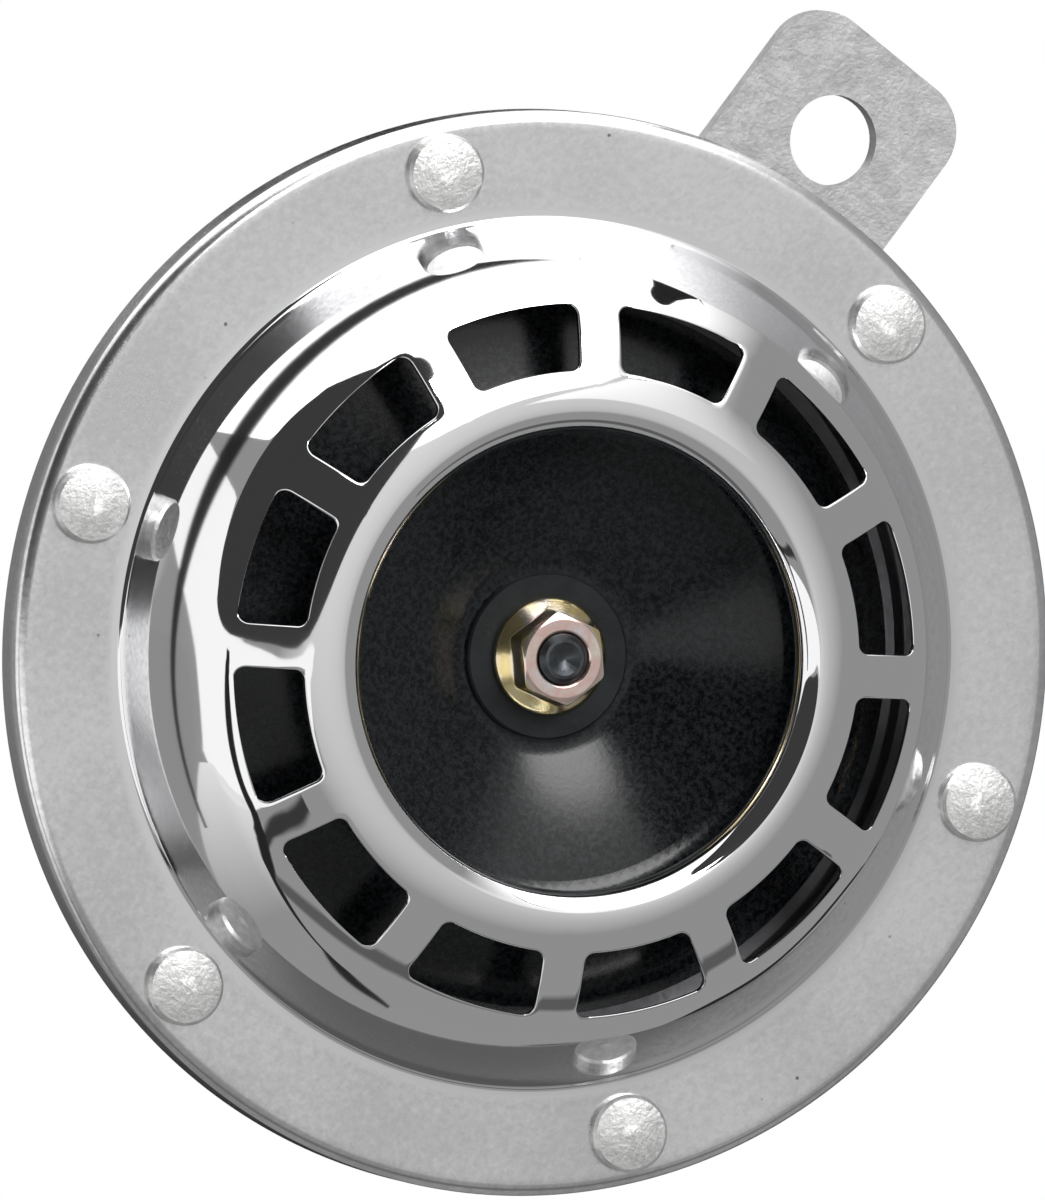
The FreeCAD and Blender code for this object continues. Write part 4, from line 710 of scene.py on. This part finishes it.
cover_chrome, tree, shader = new_material("cover_chrome")
shader.inputs["Metallic"].default_value = 1.0
place = place_on_piece(tree)
flat = grade(tree, distance_from_axis(tree, place), flange_inner, flange_inner + flange_fade)
patches = math_node(tree, "MULTIPLY", noise(tree, place, patch_scale), 0.5)
fine = noise(tree, place, mottle_scale, roughness=0.7)
clouds = math_node(tree, "MULTIPLY_ADD", fine, 0.5, patches)
mottle = math_node(tree, "MULTIPLY", flat, grade(tree, clouds, *mottle_spread))
plate = blend_colours(tree, mottle, chrome_bright, chrome_dull)
cells = add_node(tree, "ShaderNodeTexVoronoi", {"Vector": place, "Scale": speck_scale})
spots = grade(tree, cells.outputs["Distance"], speck_size, speck_size / 2)
specks = math_node(tree, "MULTIPLY", flat, spots)
tree.links.new(blend_colours(tree, specks, plate, speck_colour), shader.inputs["Base Color"])
satin = math_node(tree, "MULTIPLY", flat, grade(tree, clouds, *satin_spread, *satin_roughness))
tree.links.new(math_node(tree, "ADD", satin, mirror_roughness), shader.inputs["Roughness"])
grain = math_node(tree, "MULTIPLY", noise(tree, place, satin_scale, detail=2.0), flat)
bump(tree, shader, grain, satin_depth, strength=0.5)
cover = repeated("pressed_cover", sixth_mesh, rivet_count, grille_turn, cover_chrome)
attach(cover, "horn")
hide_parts("grille_cover")


# Six rivets with flat-domed heads hold the cover to the housing. They are soft steel with dull bright
# zinc, closed over the flange.

tone_spread = (0.35, 0.65)
gloss_spread = (0.3, 0.7)


def two_tone(name, light, dark, roughness, cloud_scale, grain_scale, grain_depth, metallic=1.0):
    """Two tones in clouds, a grain in the gloss, and fine relief. A metal, unless it says otherwise."""
    made, tree, shader = new_material(name)
    place = place_on_piece(tree)
    cloud = noise(tree, place, cloud_scale, detail=4.0, roughness=0.6)
    grain = noise(tree, place, grain_scale, roughness=0.6)
    tones = blend_colours(tree, grade(tree, cloud, *tone_spread), light, dark)
    tree.links.new(tones, shader.inputs["Base Color"])
    tree.links.new(grade(tree, grain, *gloss_spread, *roughness), shader.inputs["Roughness"])
    shader.inputs["Metallic"].default_value = metallic
    bump(tree, shader, grain, grain_depth)
    return made


rivet_zinc = two_tone("rivet_zinc", light=(0.92, 0.92, 0.91), dark=(0.72, 0.72, 0.71),
                      roughness=(0.36, 0.52), cloud_scale=650, grain_scale=1800, grain_depth=0.00008)
dress("cover_rivets", rivet_zinc)


# Two rings of pressed fibre clamp the diaphragm by its rim, between the cover and the housing. The
# diaphragm is thin spring steel, and is seen only through the slots.

gasket_fibre = two_tone("gasket_fibre", light=(0.10, 0.085, 0.07), dark=(0.05, 0.045, 0.04),
                        roughness=(0.7, 0.9), cloud_scale=300, grain_scale=2500,
                        grain_depth=0.0001, metallic=0.0)
dress("front_gasket", gasket_fibre)
dress("rear_gasket", gasket_fibre)
diaphragm_steel = two_tone("diaphragm_steel", light=(0.30, 0.30, 0.31), dark=(0.20, 0.20, 0.21),
                           roughness=(0.35, 0.5), cloud_scale=90, grain_scale=1500, grain_depth=0.00002)
dress("diaphragm", diaphragm_steel)


# The housing is a steel cup, deep-drawn in steps and enamelled black. The cover is riveted to its flange,
# and it hides all that is inside.

housing_black = two_tone("housing_black", light=(0.022, 0.023, 0.026), dark=(0.014, 0.015, 0.017),
                         roughness=(0.28, 0.42), cloud_scale=60, grain_scale=900,
                         grain_depth=0.00004, metallic=0.0)
dress("housing", housing_black)


# The tone disc is dished spring steel in satin black paint with a fine speckle, and a black washer clamps
# it on the stud. Its two cones are straight: only the shading lifts them, more and more towards the rim.

dish_start = 0.0110
dish_hollow = 5.0
paint_reflectance = 0.3
paint_dark = (0.001, 0.0015, 0.002)
paint_light = (0.016, 0.019, 0.021)
paint_scale = 1500.0
speckle_spread = (0.4, 0.62)
paint_roughness = (0.14, 0.20)
paint_relief = 0.00001

disc_black, tree, shader = new_material("disc_black")
shader.inputs["Specular IOR Level"].default_value = paint_reflectance
place = place_on_piece(tree)
grain = noise(tree, place, paint_scale, roughness=0.8)
speckle = blend_colours(tree, grade(tree, grain, *speckle_spread), paint_dark, paint_light)
tree.links.new(speckle, shader.inputs["Base Color"])
tree.links.new(grade(tree, grain, *gloss_spread, *paint_roughness), shader.inputs["Roughness"])
from_start = math_node(tree, "SUBTRACT", distance_from_axis(tree, place), dish_start)
beyond = math_node(tree, "MAXIMUM", from_start, 0.0)
hollow = math_node(tree, "MULTIPLY", math_node(tree, "MULTIPLY", beyond, beyond), dish_hollow)
bump(tree, shader, math_node(tree, "MULTIPLY_ADD", grain, paint_relief, hollow), distance=1.0)
dress("tone_disc", disc_black)
washer_black = two_tone("washer_black", light=(0.014, 0.018, 0.020), dark=(0.006, 0.008, 0.009),
                        roughness=(0.35, 0.5), cloud_scale=200, grain_scale=1500,
                        grain_depth=0.00004, metallic=0.0)
shader = washer_black.node_tree.nodes["Principled BSDF"]
shader.inputs["Specular IOR Level"].default_value = paint_reflectance
dress("tone_disc_washer", washer_black)


# The flange nut is cold-formed steel, zinc plated with a yellow, faintly iridescent chromate. Its six
# flats rise from a conical flange, and its crown is chamfered just enough to break the corners.

def thin_film(tree, shader, share, tones):
    """The colours of a chromate, one after another as its share of thickness grows."""
    ramp = add_node(tree, "ShaderNodeValToRGB", {"Fac": share})
    stops = ramp.color_ramp.elements
    while len(stops) < len(tones):
        stops.new(0.5)
    for step, (stop, tone) in enumerate(zip(stops, tones)):
        stop.position = step / (len(tones) - 1)
        stop.color = (*tone, 1)
    tree.links.new(ramp.outputs["Color"], shader.inputs["Base Color"])


film_grey = (0.80, 0.80, 0.79)
film_pink = (0.84, 0.60, 0.54)
film_cream = (0.88, 0.80, 0.70)
film_gold = (0.84, 0.68, 0.32)
film_pale_gold = (0.88, 0.78, 0.46)
film_scale = 260.0
film_spread = (0.32, 0.68)
film_change = (0.0046, 0.0058)
film_roughness = 0.17
film_grain_scale = 1500.0
film_grain_depth = 0.00001

nut_zinc, tree, shader = new_material("nut_zinc")
shader.inputs["Metallic"].default_value = 1.0
shader.inputs["Roughness"].default_value = film_roughness
place = place_on_piece(tree)
haze = noise(tree, place, film_scale, detail=2.0, roughness=0.4)
clouds = grade(tree, haze, *film_spread, 0.0, 0.5)
outer = grade(tree, distance_from_axis(tree, place), *film_change, 0.0, 0.5)
thin_film(tree, shader, math_node(tree, "ADD", clouds, outer),
          (film_grey, film_pink, film_cream, film_gold, film_pale_gold))
bump(tree, shader, noise(tree, place, film_grain_scale), film_grain_depth)

nut_low, nut_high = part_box("flange_nut")
nut_flat = 0.0050
nut_top = flange_front - nut_low.y
nut_foot = flange_front - nut_high.y
nut_bore = 0.00305
nut_turn = math.radians(-14.0)
crown_radius = 0.0047
crown_slope = 0.40
bore_chamfer = 0.00035
flange_radius = 0.0070
flange_edge = 0.0011
flange_slope = 0.53
edge_rounding = 0.00018
edge_steps = 3
foot_blend = 0.0003
crisp = 0.0001
corner_power = 34
nut_steps = 144
nut_weld = 1e-7


def flats_radius(turn):
    """Distance to the side of a hexagon with slightly rounded corners, in a direction from its middle."""
    near = sum(max(0.0, math.cos(turn - math.pi / 3 * side)) ** corner_power for side in range(6))
    return nut_flat / near ** (1 / corner_power)


def nut_section(turn):
    """From the bore's foot up to the crown, over it, down a flat, over the flange and under it."""
    side = flats_radius(turn)
    rows = [(nut_bore, nut_foot), (nut_bore, nut_top - bore_chamfer), (nut_bore + bore_chamfer, nut_top)]
    rows += [(nut_bore + bore_chamfer + crisp, nut_top), (crown_radius - crisp, nut_top)]
    for share in (0.0, 0.5, 1.0):
        radius = crown_radius + (side - edge_rounding - crown_radius) * share
        rows.append((radius, nut_top - max(0.0, radius - crown_radius) * crown_slope))
    edge_height = rows[-1][1]
    for step in range(1, edge_steps + 1):
        angle = math.pi / 2 * step / edge_steps
        rows.append((side - edge_rounding * (1 - math.sin(angle)),
                     edge_height - edge_rounding * (1 - math.cos(angle))))
    seat = nut_foot + flange_edge + (flange_radius - side) * flange_slope
    rows += [(side, edge_height - edge_rounding - crisp), (side, seat + foot_blend / 2)]
    rows += [(side + foot_blend / 3, seat), (side + foot_blend, seat - foot_blend * 0.4)]
    rim = flange_radius - edge_rounding
    rim_height = nut_foot + flange_edge
    rows += [(rim - foot_blend, rim_height + foot_blend * flange_slope), (rim, rim_height)]
    rows += [(flange_radius, rim_height - edge_rounding), (flange_radius, nut_foot + crisp)]
    return rows + [(flange_radius - crisp, nut_foot)]


turns = [2 * math.pi * step / nut_steps for step in range(nut_steps)]
sections = [[on_horn(turn + nut_turn, radius, height) for radius, height in nut_section(turn)]
            for turn in turns]
nut_shape = bmesh.new()
for first, second in zip(sections, sections[1:] + sections[:1]):
    add_strip(nut_shape, first + first[:1], second + second[:1])
bmesh.ops.remove_doubles(nut_shape, verts=nut_shape.verts, dist=nut_weld)
bmesh.ops.recalc_face_normals(nut_shape, faces=nut_shape.faces)
nut = bpy.data.objects.new("plated_flange_nut", bpy.data.meshes.new("plated_flange_nut"))
nut_shape.to_mesh(nut.data)
nut_shape.free()
nut.data.shade_smooth()
nut.data.materials.append(nut_zinc)
bpy.context.scene.collection.objects.link(nut)
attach(nut, "vibrator")
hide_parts("flange_nut")
dress("adjuster_lock_nut", nut_zinc)


# The stud is turned steel with a shallow cup in its end, which shows dark inside the nut. The magnet's core
# is turned from the same bar, and its spigot comes out at the back.

stud_steel = two_tone("stud_steel", light=(0.13, 0.14, 0.15), dark=(0.05, 0.055, 0.06),
                      roughness=(0.3, 0.42), cloud_scale=300, grain_scale=2000, grain_depth=0.00003)
dress("centre_stud", stud_steel)
dress("pole_core", stud_steel)


# The magnet's yoke, the armature and the clamping washers inside are plain steel. The coil is enamelled
# copper wire on a nylon bobbin, and a lead of the same wire goes from a terminal to the contacts.

bare_steel = two_tone("bare_steel", light=(0.58, 0.58, 0.59), dark=(0.44, 0.44, 0.45),
                      roughness=(0.25, 0.4), cloud_scale=150, grain_scale=1500, grain_depth=0.00003)
for node in ("tone_disc_spacer", "front_clamp_washer", "rear_clamp_washer", "armature", "magnet_yoke",
             "contact_base", "contact_rivets"):
    dress(node, bare_steel)
nylon = two_tone("bobbin_nylon", light=(0.78, 0.75, 0.66), dark=(0.72, 0.69, 0.60),
                 roughness=(0.4, 0.5), cloud_scale=100, grain_scale=900, grain_depth=0.00002, metallic=0.0)
dress("coil_bobbin", nylon)
dress("adjuster_tip", nylon)
copper = two_tone("coil_copper", light=(0.72, 0.28, 0.12), dark=(0.55, 0.20, 0.09),
                  roughness=(0.25, 0.35), cloud_scale=300, grain_scale=1800, grain_depth=0.0001)
dress("coil_winding", copper)
dress("lead_wire", copper)


# The contact breaker is a riveted stack of brass arms between strips of paper laminate, with tungsten
# points. The adjusting screw, its bush and the terminals are brass too.

laminate = two_tone("insulator_paper", light=(0.35, 0.18, 0.08), dark=(0.28, 0.14, 0.06),
                    roughness=(0.45, 0.6), cloud_scale=200, grain_scale=2000,
                    grain_depth=0.00002, metallic=0.0)
for node in ("contact_insulator_lower", "contact_insulator_middle", "contact_insulator_upper",
             "terminal_strip_inner"):
    dress(node, laminate)
brass = two_tone("contact_brass", light=(0.80, 0.60, 0.28), dark=(0.68, 0.50, 0.24),
                 roughness=(0.2, 0.35), cloud_scale=200, grain_scale=1800, grain_depth=0.00002)
for node in ("fixed_contact_arm", "contact_leaf_spring", "adjusting_screw", "adjuster_bush",
             "spade_terminals", "terminal_rivets"):
    dress(node, brass)
tungsten = two_tone("contact_tungsten", light=(0.40, 0.40, 0.42), dark=(0.30, 0.30, 0.32),
                    roughness=(0.3, 0.4), cloud_scale=300, grain_scale=2000, grain_depth=0.00002)
dress("fixed_contact_point", tungsten)
dress("moving_contact_point", tungsten)


# The terminal block is moulded black plastic on a thin rubber gasket. Two rivets hold both to the back of
# the housing, and clamp the blades.

terminal_plastic = two_tone("terminal_plastic", light=(0.030, 0.030, 0.033), dark=(0.022, 0.022, 0.025),
                            roughness=(0.4, 0.55), cloud_scale=150, grain_scale=1200,
                            grain_depth=0.00004, metallic=0.0)
dress("terminal_block", terminal_plastic)
rubber = two_tone("gasket_rubber", light=(0.030, 0.030, 0.030), dark=(0.020, 0.020, 0.020),
                  roughness=(0.75, 0.9), cloud_scale=400, grain_scale=2500,
                  grain_depth=0.00003, metallic=0.0)
dress("terminal_gasket", rubber)


# The bracket is a flat strip of steel with dull, mottled zinc. A split washer and a nut hold it on the
# spigot of the magnet's core.

bracket_zinc = two_tone("bracket_zinc", light=(0.66, 0.66, 0.66), dark=(0.50, 0.50, 0.51),
                        roughness=(0.36, 0.52), cloud_scale=420, grain_scale=1500, grain_depth=0.00005)
dress("mounting_bracket", bracket_zinc)
dress("bracket_lock_washer", rivet_zinc)
dress("bracket_nut", rivet_zinc)
